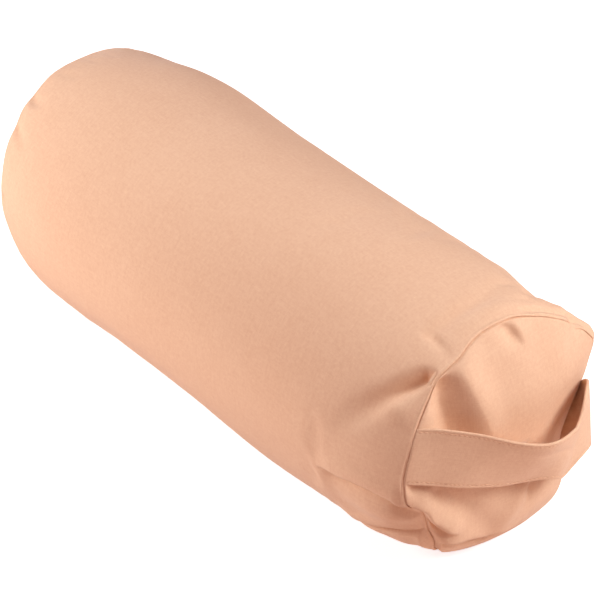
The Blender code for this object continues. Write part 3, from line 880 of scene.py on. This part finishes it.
# %% [markdown]
# ## The strap
#
# The strap is a folded band of canvas 50 mm wide, stitched along both edges. It leaves the seam on the
# near side, swings out round the end and goes back into the seam behind. Its two long edges are smooth
# curves, found by matching them to the photograph while they stay 50 mm apart. The cloth between them
# is a ruled surface with a flat profile, and both ends bend to the arc of the seam that holds them.

# %% Strap path
STRAP_HALF_WIDTH = 0.025
STRAP_THICKNESS = 0.0022
STITCH_ROW = 0.88  # share of the half width
ROOT_BEND = 0.014  # how far from its ends the strap still bends to the seam's arc
STRAP_ROOTS = ((175.8, 148.5), (-36.5, -2.0))  # angles of the lower and upper corner, front then back
UPPER_EDGE = ((279.5, -56.2, 157.4), (301.7, -29.6, 147.9), (314.6, -2.4, 139.4), (312.9, 24.1, 135.8),
              (302.9, 40.9, 127.7), (291.3, 58.8, 136.5), (272.3, 79.9, 131.5))
LOWER_EDGE = ((275.8, -68.4, 109.0), (289.1, -37.8, 100.3), (296.4, -8.7, 93.2), (303.0, 15.3, 87.7),
              (297.6, 32.7, 77.4), (294.8, 54.3, 83.5), (281.5, 79.3, 74.5))


def seam_point(angle, inwards=1.0):
    """Points of the strap's end seam at angles in degrees, so many millimetres nearer to the axis."""
    radius = on_ring(handle_radius, angle) - inwards / 1000
    turn = np.radians(angle)
    return np.stack([on_ring(handle_reach, angle), radius * np.cos(turn),
                     AXIS_HEIGHT + radius * np.sin(turn)], axis=-1)


def through_points(points, share):
    """A cubic spline through points at even steps, as a sum of powers and cut-off cubes of the share."""
    def basis(t):
        t = np.asarray(t, float)[:, None]
        inner = np.arange(2, len(points) - 2) / (len(points) - 1)
        return np.concatenate([t ** np.arange(4), np.maximum(t - inner, 0) ** 3], axis=1)
    return basis(share) @ np.linalg.solve(basis(np.linspace(0, 1, len(points))), points)


def strap_edge(table, corner):
    """One long edge of the strap: seam point, the points of the table, seam point."""
    front, back = [seam_point(np.array([roots[corner]])) for roots in STRAP_ROOTS]
    return np.concatenate([front, np.array(table) / 1000, back])


# %% Strap mesh
STATIONS = 190
shares = np.linspace(0, 1, STATIONS)
lower_edge = through_points(strap_edge(LOWER_EDGE, 0), shares)
upper_edge = through_points(strap_edge(UPPER_EDGE, 1), shares)
middle_line = (lower_edge + upper_edge) / 2
run = np.concatenate([[0], np.cumsum(np.linalg.norm(np.diff(middle_line, axis=0), axis=1))])
face_way = unit(np.cross(np.gradient(middle_line, axis=0), upper_edge - lower_edge))
print("strap length from seam to seam", round(run[-1] * 1000, 1), "mm, width",
      np.round(np.linalg.norm(upper_edge - lower_edge, axis=1)[::27] * 1000, 1))


def strap_wave(across, run):
    """How far the cloth stands off its ruled surface, in metres: slow waves, and one shallow wrinkle."""
    wrinkle = mound(across + 7.0 * (run - 0.120), run, (0.30, 0.128), (0.13, 0.034), 0.0007)
    wave = 0.0005 * np.sin(run * 62 + across * 1.3) + 0.0003 * np.sin(run * 141 - across * 2.2)
    fade = 1 - bell(run, 0.02) - bell(run[-1:] - run, 0.02)
    return (wave - wrinkle) * fade


def strap_surface(across, height):
    """Points of the strap for a share across it from -1 to 1, and a height over its middle surface.

    Point = lower edge + (upper - lower) * share + face direction * (height + waves), and near both ends
    the straight section is bent to the seam's arc by a Gaussian of the distance from the end.
    """
    part = ((across + 1) / 2)[:, None]
    sheet = lower_edge[:, None] * (1 - part) + upper_edge[:, None] * part
    for roots, distance in zip(STRAP_ROOTS, (run, run[-1] - run)):
        lower, upper = seam_point(np.array(roots))
        arc = seam_point(roots[0] + (roots[1] - roots[0]) * (across + 1) / 2)
        bend = arc - lower * (1 - part) - upper * part
        sheet = sheet + bell(distance, ROOT_BEND)[:, None, None] * bend
    lift = strap_wave(across, run[:, None]) + height
    return sheet + face_way[:, None] * lift[..., None]


def band_profile():
    """Closed outline of the band's cross section: share across, and height of the outer and inner face.

    The edges are rounded folds, the middle is a little full, and it dips at the two rows of stitches.
    """
    edge = np.linspace(0.80, 0.985, 8)
    flat = np.concatenate([-edge[::-1], np.linspace(-0.76, 0.76, 27), edge])
    thick = STRAP_THICKNESS / 2 * (1 + 0.12 * (1 - flat ** 2))
    thick -= 0.00034 * bell(np.abs(flat) - STITCH_ROW, 0.030)
    corner = np.array([1.0, 1.004, 1.0])
    rise = np.array([0.00055, 0.0, -0.00055])
    across = np.concatenate([flat, corner, flat[::-1], -corner])
    height = np.concatenate([thick, rise, -thick[::-1], -rise])
    return across, height


def sunk(row, steps):
    """Copies of an end section, moved into the seam: so far back and so far towards the axis, in mm."""
    pull = unit(np.array([0.0, -row[:, 1].mean(), AXIS_HEIGHT - row[:, 2].mean()]))
    return np.array([row + pull * inwards / 1000 - (back / 1000, 0, 0) for back, inwards in steps])


SINK = ((3, 1.0), (6, 2.0), (9, 2.5))  # mm into the seam, and mm towards the axis
across, height = band_profile()
band = strap_surface(across, height)
band = np.concatenate([sunk(band[0], SINK[::-1]), band, sunk(band[-1], SINK)])
strap = new_tube("canvas_strap", band)
print("strap faces", len(strap.data.polygons))

# %% [markdown]
# ### Stitches
#
# Two rows of stitches hold the strap's folded edges, three millimetres in. A machine stitch is a short
# piece of thread that dips into the cloth at both ends. There are hundreds, so each one is only a
# six-sided capsule of 32 faces, and all of them are worked out as one array.

# %% Strap stitches
STITCH_PITCH = 0.0037
STITCH_LENGTH = 0.0029
THREAD_RADIUS = 0.00036
STITCH_PROFILE = ((-0.5, 0.45, -1.0), (-0.42, 0.9, -0.1), (-0.15, 1.0, 0.32),
                  (0.15, 1.0, 0.32), (0.42, 0.9, -0.1), (0.5, 0.45, -1.0))


def stitches(name, centres, ways, rises):
    """Thread capsules at centres, each along its way and raised along its rise, as one mesh.

    Section i of the profile lies its share of the length along, with its share of the thread's radius,
    and is raised by its share of it, so the ends dip under the cloth.
    """
    ways = unit(ways)
    sides = unit(np.cross(ways, rises))
    centres, ways, rises, sides = [each[:, None, None] for each in (centres, ways, rises, sides)]
    place, thick, rise = np.array(STITCH_PROFILE).T[..., None, None]
    turn = np.radians(np.arange(6) * 60)[:, None]
    rim = sides * np.cos(turn) + rises * np.sin(turn)
    points = centres + ways * place * STITCH_LENGTH + (rises * rise + rim * thick) * THREAD_RADIUS
    sections = len(STITCH_PROFILE)
    shift = (np.arange(len(centres)) * sections * 6)[:, None, None]
    caps = np.stack([np.arange(6), np.arange(6)[::-1] + 6 * (sections - 1)])
    faces = [*(grid_faces(sections, 6) + shift).reshape(-1, 4), *(caps + shift).reshape(-1, 6)]
    piece = new_piece(name, points, faces)
    print(name, len(centres), "stitches,", len(faces), "faces")
    return piece


FIRST_STITCH = 0.0035
LAST_STITCH = 0.0030  # from the strap's other end
stitch_face = STRAP_THICKNESS / 2 - 0.00022
stitch_run = np.arange(FIRST_STITCH, run[-1] - LAST_STITCH, STITCH_PITCH)


def at_run(values):
    """Rows of an array along the strap, read at each stitch."""
    return np.stack([np.interp(stitch_run, run, values[:, axis]) for axis in range(3)], axis=-1)


rows = []
for side in (1, -1):
    for place in (-STITCH_ROW, STITCH_ROW):
        line = strap_surface(np.array([place]), np.array([side * stitch_face]))[:, 0]
        rows.append((at_run(line), at_run(np.gradient(line, axis=0)), side * at_run(face_way)))
strap_stitches = stitches("strap_stitches", *[np.concatenate(parts) for parts in zip(*rows)])

# %% [markdown]
# ## The zip
#
# A nylon zip lies under a slot in the long seam, low on the back, so that the cover comes off for
# washing. Two woven tapes carry a row of coil each. A coil is one thick thread wound round and round, so
# it is made here as one tube along a flattened helix, and not as separate teeth. Rows of stitches hold
# the tapes to the cover, and a block of close stitches locks each end of the slot.

# %% Zip sizes
ZIP_HALF = 0.150
TAPE_HALF = 0.158
TAPE_WIDTH = 0.012
TAPE_LEVELS = (0.111562, 0.112062)
COIL_FROM, COIL_TO = 0.00045, 0.00295
COIL_LEVELS = (0.112212, 0.114412)
COIL_PITCH = 0.0013
COIL_THREAD = 0.00031
COIL_STEPS, COIL_SIDES = 9, 5  # points to a turn, and round the thread


def zip_point(x, across, level):
    """Points in the zip's own frame: along it, across it, and at a level out from the cushion's axis."""
    out = math.sqrt(0.5)
    x, across, level = np.broadcast_arrays(x, across, level)
    return np.stack([x, (level - across) * out, AXIS_HEIGHT - (level + across) * out], axis=-1)


# %% Zip tapes


def zip_tape(name, side):
    """A woven tape: a flat strip with rounded edges, and a corded edge beside the coil.

    Half thickness = the cloth's half + a small rise over the cord, squeezed to nothing at both edges.
    """
    share = (1 - np.cos(np.linspace(0, math.pi, 28))) / 2
    across = COIL_FROM + TAPE_WIDTH * share
    cord = 0.78 + 0.22 * bell(share - 0.30, 0.035)
    squeeze = np.minimum(1, np.sin(share * math.pi) * 12) ** 0.5
    thick = (TAPE_LEVELS[1] - TAPE_LEVELS[0]) / 2 * cord * squeeze
    middle = sum(TAPE_LEVELS) / 2
    across = np.concatenate([across, across[-2:0:-1]])
    level = np.concatenate([middle + thick, (middle - thick)[-2:0:-1]])
    rings = zip_point(np.linspace(-TAPE_HALF, TAPE_HALF, 90)[:, None], side * across, level)
    return new_tube(name, rings[:, ::-side])


tapes = [zip_tape("zip_tape_upper_woven", -1), zip_tape("zip_tape_lower_woven", 1)]
print("zip tapes:", [len(tape.data.polygons) for tape in tapes], "faces")

# %% Zip coils


def zip_coil(name, side, shift):
    """One row of coil: a thread on a flattened helix, thicker at the heads that lock in the middle.

    At turn t the thread's centre lies at x = start + pitch * t, across = middle - half width * cos,
    level = middle + half height * sin, both squared off a little.
    """
    turns = int(2 * ZIP_HALF / COIL_PITCH) - 1
    turn = np.arange(turns * COIL_STEPS + 1) / COIL_STEPS
    wide, high = np.cos(turn * 2 * math.pi), np.sin(turn * 2 * math.pi)
    half_wide = (COIL_TO - COIL_FROM) / 2 - COIL_THREAD * 1.1
    half_high = (COIL_LEVELS[1] - COIL_LEVELS[0]) / 2 - COIL_THREAD * 1.1
    across = (COIL_FROM + COIL_TO) / 2 - half_wide * np.sign(wide) * np.abs(wide) ** 0.7
    level = sum(COIL_LEVELS) / 2 + half_high * np.sign(high) * np.abs(high) ** 0.6
    x = -ZIP_HALF + COIL_PITCH * (turn + shift + 0.5)
    line = np.stack([x, side * across, level], axis=-1)
    way = unit(np.gradient(line, axis=0))
    first = unit(np.cross(way, (1.0, 0.0, 0.0)))
    angle = (np.arange(COIL_SIDES) * 2 * math.pi / COIL_SIDES)[:, None]
    rim = first[:, None] * np.cos(angle) + np.cross(way, first)[:, None] * np.sin(angle)
    ring = line[:, None] + (COIL_THREAD * (0.94 + 0.12 * wide))[:, None, None] * rim
    return new_tube(name, zip_point(*np.moveaxis(ring, -1, 0)))


coils = [zip_coil("zip_coil_upper_turns", -1, 0.0), zip_coil("zip_coil_lower_turns", 1, 0.5)]
print("coils:", [len(coil.data.polygons) for coil in coils], "faces")

# %% Zip stitches
TOPSTITCH_OFFSET = 0.0088
TOPSTITCH_END = 0.156
BAR_PLACE = 0.1552
THREAD_SINK = 0.0001


def on_cover(x, across):
    """Points on the cover beside the zip, across from it by an arc, and the directions out of it."""
    x, across = np.broadcast_arrays(x, across)
    turn = math.radians(ZIP_ANGLE) - across / RADIUS
    out = np.stack([np.zeros_like(turn), np.cos(turn), np.sin(turn)], axis=-1)
    return x[:, None] * (1, 0, 0) + (0, 0, AXIS_HEIGHT) + out * (RADIUS - THREAD_SINK), out


line = np.arange(-TOPSTITCH_END, TOPSTITCH_END, STITCH_PITCH)
bar = np.linspace(-0.0070, 0.0070, 18)
rows = [on_cover(line, side * TOPSTITCH_OFFSET) for side in (-1, 1)]
rows += [on_cover(end * BAR_PLACE, bar) for end in (-1, 1)]
centres, outs = [np.concatenate(parts) for parts in zip(*rows)]
zip_stitches = stitches("zip_stitches", centres, np.tile([1.0, 0.0, 0.0], (len(centres), 1)), outs)

# %% [markdown]
# ## The cushion inside
#
# The filling sits in its own cotton case, which takes the shape of the cover from inside. Its surfaces
# are the cover's surfaces a few millimetres further in, so nothing pokes through a fold. They are
# hardly seen, but a viewer who takes the cover off finds a real inner cushion and its stuffing.

# %% Inner surfaces
INNER_COLUMNS = np.arange(0, 360, 3.0)
INNER_ALONG = np.linspace(1, 0, 60)
COTTON_THICKNESS = 0.0005
# distances from the cover in mm: of the tube, of its ends, and of the panels
LINER_IN, LINER_SHORTER, LINER_PANEL_IN = 4.6, 18.0, 12.0
FILLING_IN, FILLING_SHORTER, FILLING_PANEL_IN = 6.6, 26.0, 16.0
FOLD_ROOM = 8  # mm more beside the strap's seam, where the folds are deep
LINER_REACH, FILLING_REACH = 0.88, 0.84  # how far out to the seam the inner panels go
INNER_RINGS = 18


def inner_tube(inset, shorter):
    """Rows of the cover's tube pulled in towards its axis and made shorter, both in mm."""
    along = 0.5 + (INNER_ALONG[:, None] - 0.5) * (1 - shorter / nominal)
    tube = tube_surface(along, INNER_COLUMNS, ripple=ripples)
    away = tube * (0, 1, 1) - (0, 0, AXIS_HEIGHT)
    near = bell(tube[..., :1] - 0.25, 0.06)
    return tube - unit(away) * (inset + FOLD_ROOM * near) / 1000


def inner_disc(surface, reach, side, inset):
    """Rings of an inner panel from its rim to near the middle, and its pole, moved in by inset in mm."""
    ring = np.linspace(reach, 0, INNER_RINGS, endpoint=False)[:, None]
    inwards = np.array([side * inset / 1000, 0, 0])
    return surface(ring, INNER_COLUMNS) - inwards, pole_of(surface) - inwards


liner_rows = inner_tube(LINER_IN, LINER_SHORTER)
liner_body = new_piece("liner_tube", liner_rows, grid_faces(*liner_rows.shape[:2]))
liner_ends = []
for name, surface, side, rim in (("liner_panel_strap_end", handle_panel, 1, liner_rows[0]),
                                 ("liner_panel_plain_end", plain_panel, -1, liner_rows[-1])):
    rings, pole = inner_disc(surface, LINER_REACH, side, LINER_PANEL_IN)
    liner_ends.append(new_disc(name, np.concatenate([rim[None], rings]), pole, side))
for piece in (liner_body, *liner_ends):
    add_wall(piece, COTTON_THICKNESS)

# %% Filling
near_rings, near_pole = inner_disc(handle_panel, FILLING_REACH, 1, FILLING_PANEL_IN)
far_rings, far_pole = inner_disc(plain_panel, FILLING_REACH, -1, FILLING_PANEL_IN)
stack = np.concatenate([near_rings[::-1], inner_tube(FILLING_IN, FILLING_SHORTER), far_rings])
count, around = stack.shape[:2]
first = np.arange(around)
last = (count - 1) * around + first
poles = np.full(around, count * around)
filling_faces = [*grid_faces(count, around), *np.stack([first, np.roll(first, -1), poles], axis=-1),
                 *np.stack([last, poles + 1, np.roll(last, -1)], axis=-1)]
filling_points = np.concatenate([stack.reshape(-1, 3), near_pole, far_pole])
filling = new_piece("filling_mass", filling_points, filling_faces)
print("inner cushion and filling are in place")

# %% [markdown]
# ## Canvas
#
# The cover is plain-woven cotton canvas in a pale peach. Close up it shows threads that pass over and
# under each other every six tenths of a millimetre, thicker and thinner threads as faint streaks, and a
# dusting of fluff. The weave follows the cloth, so each piece carries a UV map in metres.

# %% UV maps in metres


def give_uv(piece, across, along):
    """Writes a UV map from two arrays with one value for each corner of each face."""
    layer = piece.data.uv_layers.new(name="cloth")
    layer.data.foreach_set("uv", np.stack([across, along], axis=-1).astype(np.float32).ravel())


def corner_points(piece):
    """Vertex numbers and coordinates at each face corner."""
    numbers = np.empty(len(piece.data.loops), np.int32)
    piece.data.loops.foreach_get("vertex_index", numbers)
    return numbers, vertex_points(piece.data)[numbers]


def uv_round_axis(piece):
    """UV of a tube: the arc round the axis, unbroken within each quad, and the distance along X."""
    numbers, points = corner_points(piece)
    turn = np.degrees(np.arctan2(points[:, 2] - AXIS_HEIGHT, points[:, 1])) % 360
    quads = turn.reshape(-1, 4)
    wraps = (quads.max(1) - quads.min(1)) > 180
    quads[wraps] = np.where(quads[wraps] < 180, quads[wraps] + 360, quads[wraps])
    give_uv(piece, quads.ravel() * MM_PER_DEGREE / 1000, points[:, 0])


def uv_on_end(piece):
    """UV of a round panel: its own height and width, as the flat cloth was cut."""
    points = corner_points(piece)[1]
    give_uv(piece, points[:, 1], points[:, 2])


def uv_on_band(piece, run, across):
    """UV of the strap: the distance along it and the distance across it."""
    row, column = np.divmod(corner_points(piece)[0], len(across))
    back = np.array(SINK)[:, 0] / 1000
    lengths = np.concatenate([run[0] - back[::-1], run, run[-1] + back])
    give_uv(piece, across[column] * STRAP_HALF_WIDTH, lengths[row])


for piece in (cover_body, liner_body):
    uv_round_axis(piece)
for piece in (panel_handle, panel_plain, *liner_ends):
    uv_on_end(piece)
uv_on_band(strap, run, across)

# %% Canvas material
THREAD = 0.00062


def woven_cloth(name, light, deep, thread=THREAD, bump=0.35):
    """Plain weave: crowned threads that swap over and under, with painted shade where they dip, and
    streaks, mottling and fluff.
    """
    material, nodes = new_material(name)
    cloth = nodes.add("UVMap", {"uv_map": "cloth"}).outputs[0]
    solid = nodes.add("TexCoord").outputs["Object"]
    split = nodes.add("SeparateXYZ", _0=cloth)
    warp, weft = [nodes.math("SINE", nodes.math("MULTIPLY", way, math.pi / thread))
                  for way in split.outputs[:2]]
    over = nodes.math("MULTIPLY_ADD", nodes.math("MULTIPLY", warp, weft), 4.0, 0.5, clamp=True)
    warp_high, weft_high = nodes.math("ABSOLUTE", warp), nodes.math("ABSOLUTE", weft)
    warp_top = nodes.math("MULTIPLY", warp_high, nodes.math("MULTIPLY_ADD", weft_high, 0.45, 0.55))
    weft_top = nodes.math("MULTIPLY", weft_high, nodes.math("MULTIPLY_ADD", warp_high, 0.45, 0.55))
    under = nodes.math("MULTIPLY", nodes.math("SUBTRACT", 1.0, over), weft_top)
    threads = nodes.math("ADD", nodes.math("MULTIPLY", over, warp_top), under)
    stretched = [nodes.add("Mapping", Vector=cloth, Scale=scale).outputs[0]
                 for scale in ((1300.0, 45.0, 1.0), (45.0, 1300.0, 1.0))]
    streak = nodes.math("ADD", *(nodes.noise(place, 1.0, 2.0, dimensions="2D") for place in stretched))
    mottle = nodes.noise(solid, 9.0, 3.0, 0.55)
    fluff = nodes.noise(solid, 1150.0, 2.0, 0.6)
    grain = nodes.noise(solid, 380.0, 1.0)
    # painted shade: the tone is darker where the threads dip under each other; the streaks, mottling,
    # fluff and grain are tone that differs at random
    shade = nodes.math("MULTIPLY_ADD", threads, 0.16, 0.10)
    for noise, mean, part in ((streak, 1.0, 0.55), (mottle, 0.5, 0.55),
                              (fluff, 0.5, 0.9), (grain, 0.5, 0.9)):
        shade = nodes.math("MULTIPLY_ADD", nodes.math("SUBTRACT", noise, mean), part, shade)
    colour = nodes.blend(nodes.math("ADD", shade, 0.28, clamp=True), deep, light)
    relief = nodes.math("MULTIPLY_ADD", fluff, 0.7, threads)
    relief = nodes.math("MULTIPLY_ADD", streak, 0.5, relief)
    nodes.finish("BsdfPrincipled", Base_Color=colour, Roughness=0.92, Specular_IOR_Level=0.25,
                 Normal=nodes.bump(relief, bump, 0.00022), Sheen_Weight=0.25, Sheen_Roughness=0.45,
                 Sheen_Tint=(1.0, 0.93, 0.88, 1))
    return material


canvas = woven_cloth("peach_canvas", (0.900, 0.640, 0.440, 1), (0.800, 0.515, 0.335, 1))
cotton = woven_cloth("cream_cotton", (0.86, 0.83, 0.77, 1), (0.78, 0.74, 0.67, 1),
                     thread=0.0004, bump=0.2)

# %% [markdown]
# ## Zip materials
#
# The tapes are woven in a herringbone of fine ribs. The coil is smooth nylon, half gloss, a little
# deeper in colour than the canvas. The slider, its pull and the stops are nickel-plated, with fine
# scratches that make their shine uneven. They keep their CAD shapes.

# %% Tape, nylon, nickel and filling


def herringbone(name, light, deep):
    """Fine slanted ribs that change direction every 1.5 mm across the tape, with painted shade in the
    grooves between them, from Object coordinates.
    """
    material, nodes = new_material(name)
    solid = nodes.add("TexCoord").outputs["Object"]
    x, y, z = nodes.add("SeparateXYZ", _0=solid).outputs
    across = nodes.math("MULTIPLY", nodes.math("ADD", y, z), 0.7071)
    slant = nodes.math("ADD", x, nodes.math("PINGPONG", across, 0.0015))
    ribs = nodes.math("SINE", nodes.math("MULTIPLY", slant, 2 * math.pi / 0.0007))
    level = nodes.math("MULTIPLY_ADD", ribs, 0.35, nodes.noise(solid, 1400.0, 2.0))
    # painted shade: the tape is darker in the grooves between its ribs, with tone that differs at random
    # from the noise
    colour = nodes.blend(nodes.math("MULTIPLY_ADD", level, 0.7, 0.1, clamp=True), deep, light)
    nodes.finish("BsdfPrincipled", Base_Color=colour, Roughness=0.8, Sheen_Weight=0.15,
                 Normal=nodes.bump(level, 0.4, 0.00015))
    return material


def smooth_nylon(name, light, deep):
    """Drawn nylon thread: half gloss, with slow changes of shade along it."""
    material, nodes = new_material(name)
    cloud = nodes.noise(nodes.add("TexCoord").outputs["Object"], 260.0, 3.0)
    nodes.finish("BsdfPrincipled", Base_Color=nodes.blend(cloud, deep, light),
                 Roughness=nodes.math("MULTIPLY_ADD", cloud, 0.2, 0.28))
    return material


def plated_metal(name, light, deep):
    """Nickel plate: fine scratches along X in the roughness and the relief, and faint dull spots."""
    material, nodes = new_material(name)
    solid = nodes.add("TexCoord").outputs["Object"]
    stretched = nodes.add("Mapping", Vector=solid, Scale=(120.0, 2600.0, 2600.0)).outputs[0]
    scratches = nodes.noise(stretched, 1.0, 4.0)
    spots = nodes.noise(solid, 420.0, 3.0)
    rough = nodes.math("MULTIPLY_ADD", scratches, 0.22, 0.14)
    rough = nodes.math("MULTIPLY_ADD", spots, 0.16, rough)
    nodes.finish("BsdfPrincipled", Base_Color=nodes.blend(spots, deep, light), Metallic=1.0,
                 Roughness=rough, Normal=nodes.bump(scratches, 0.12, 0.00005))
    return material


def loose_fibre(name, light, deep):
    """Loose stuffing: a lumpy matt surface, with painted shade: lighter where it is higher and darker in
    its hollows.
    """
    material, nodes = new_material(name)
    cloud = nodes.noise(nodes.add("TexCoord").outputs["Object"], 220.0, 5.0)
    # painted shade: the noise that raises the lumps also darkens the hollows between them
    nodes.finish("BsdfPrincipled", Base_Color=nodes.blend(cloud, deep, light), Roughness=0.95,
                 Normal=nodes.bump(cloud, 0.8, 0.002))
    return material


tape_cloth = herringbone("herringbone_tape", (0.86, 0.56, 0.38, 1), (0.70, 0.40, 0.25, 1))
nylon = smooth_nylon("peach_nylon", (0.84, 0.52, 0.34, 1), (0.74, 0.43, 0.27, 1))
nickel = plated_metal("nickel_plate", (0.78, 0.76, 0.73, 1), (0.62, 0.60, 0.57, 1))
fibre = loose_fibre("polyester_filling", (0.9, 0.9, 0.89, 1), (0.75, 0.75, 0.74, 1))

# %% Materials and walls
CANVAS_THICKNESS = 0.001
METAL_NODES = ("zip_top_stop_upper", "zip_top_stop_lower", "zip_bottom_stop", "zip_slider", "zip_pull")

for material, pieces in (
        (canvas, (cover_body, panel_handle, panel_plain, strap, strap_stitches, zip_stitches)),
        (cotton, (liner_body, *liner_ends)),
        (tape_cloth, tapes),
        (nylon, coils),
        (fibre, (filling,))):
    for piece in pieces:
        piece.data.materials.append(material)
for name in METAL_NODES:
    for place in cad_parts[name].material_slots:
        place.material = nickel
for piece in (cover_body, panel_handle, panel_plain):
    add_wall(piece, CANVAS_THICKNESS)

# %% Stand each piece on the frame
for piece, node, slot in (
        (cover_body, "cover_body", "cover_canvas"),
        (panel_handle, "cover_end_handle", "cover_canvas"),
        (panel_plain, "cover_end_plain", "cover_canvas"),
        (liner_body, "liner_body", "liner_cotton"),
        (liner_ends[0], "liner_end_handle", "liner_cotton"),
        (liner_ends[1], "liner_end_plain", "liner_cotton"),
        (filling, "filling", "filling")):
    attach(piece, "cushion")
    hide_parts(node)
for piece in (strap, strap_stitches):
    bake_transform(piece)
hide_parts("handle_loop", "handle_tab_front", "handle_tab_back")
for piece, node, slot in (
        (tapes[0], "zip_tape_upper", "zip_tape"),
        (tapes[1], "zip_tape_lower", "zip_tape"),
        (coils[0], "zip_coil_upper", "zip_coil"),
        (coils[1], "zip_coil_lower", "zip_coil")):
    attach(piece, "cushion")
    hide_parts(node)
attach(zip_stitches, "cushion")

bpy.context.view_layer.update()
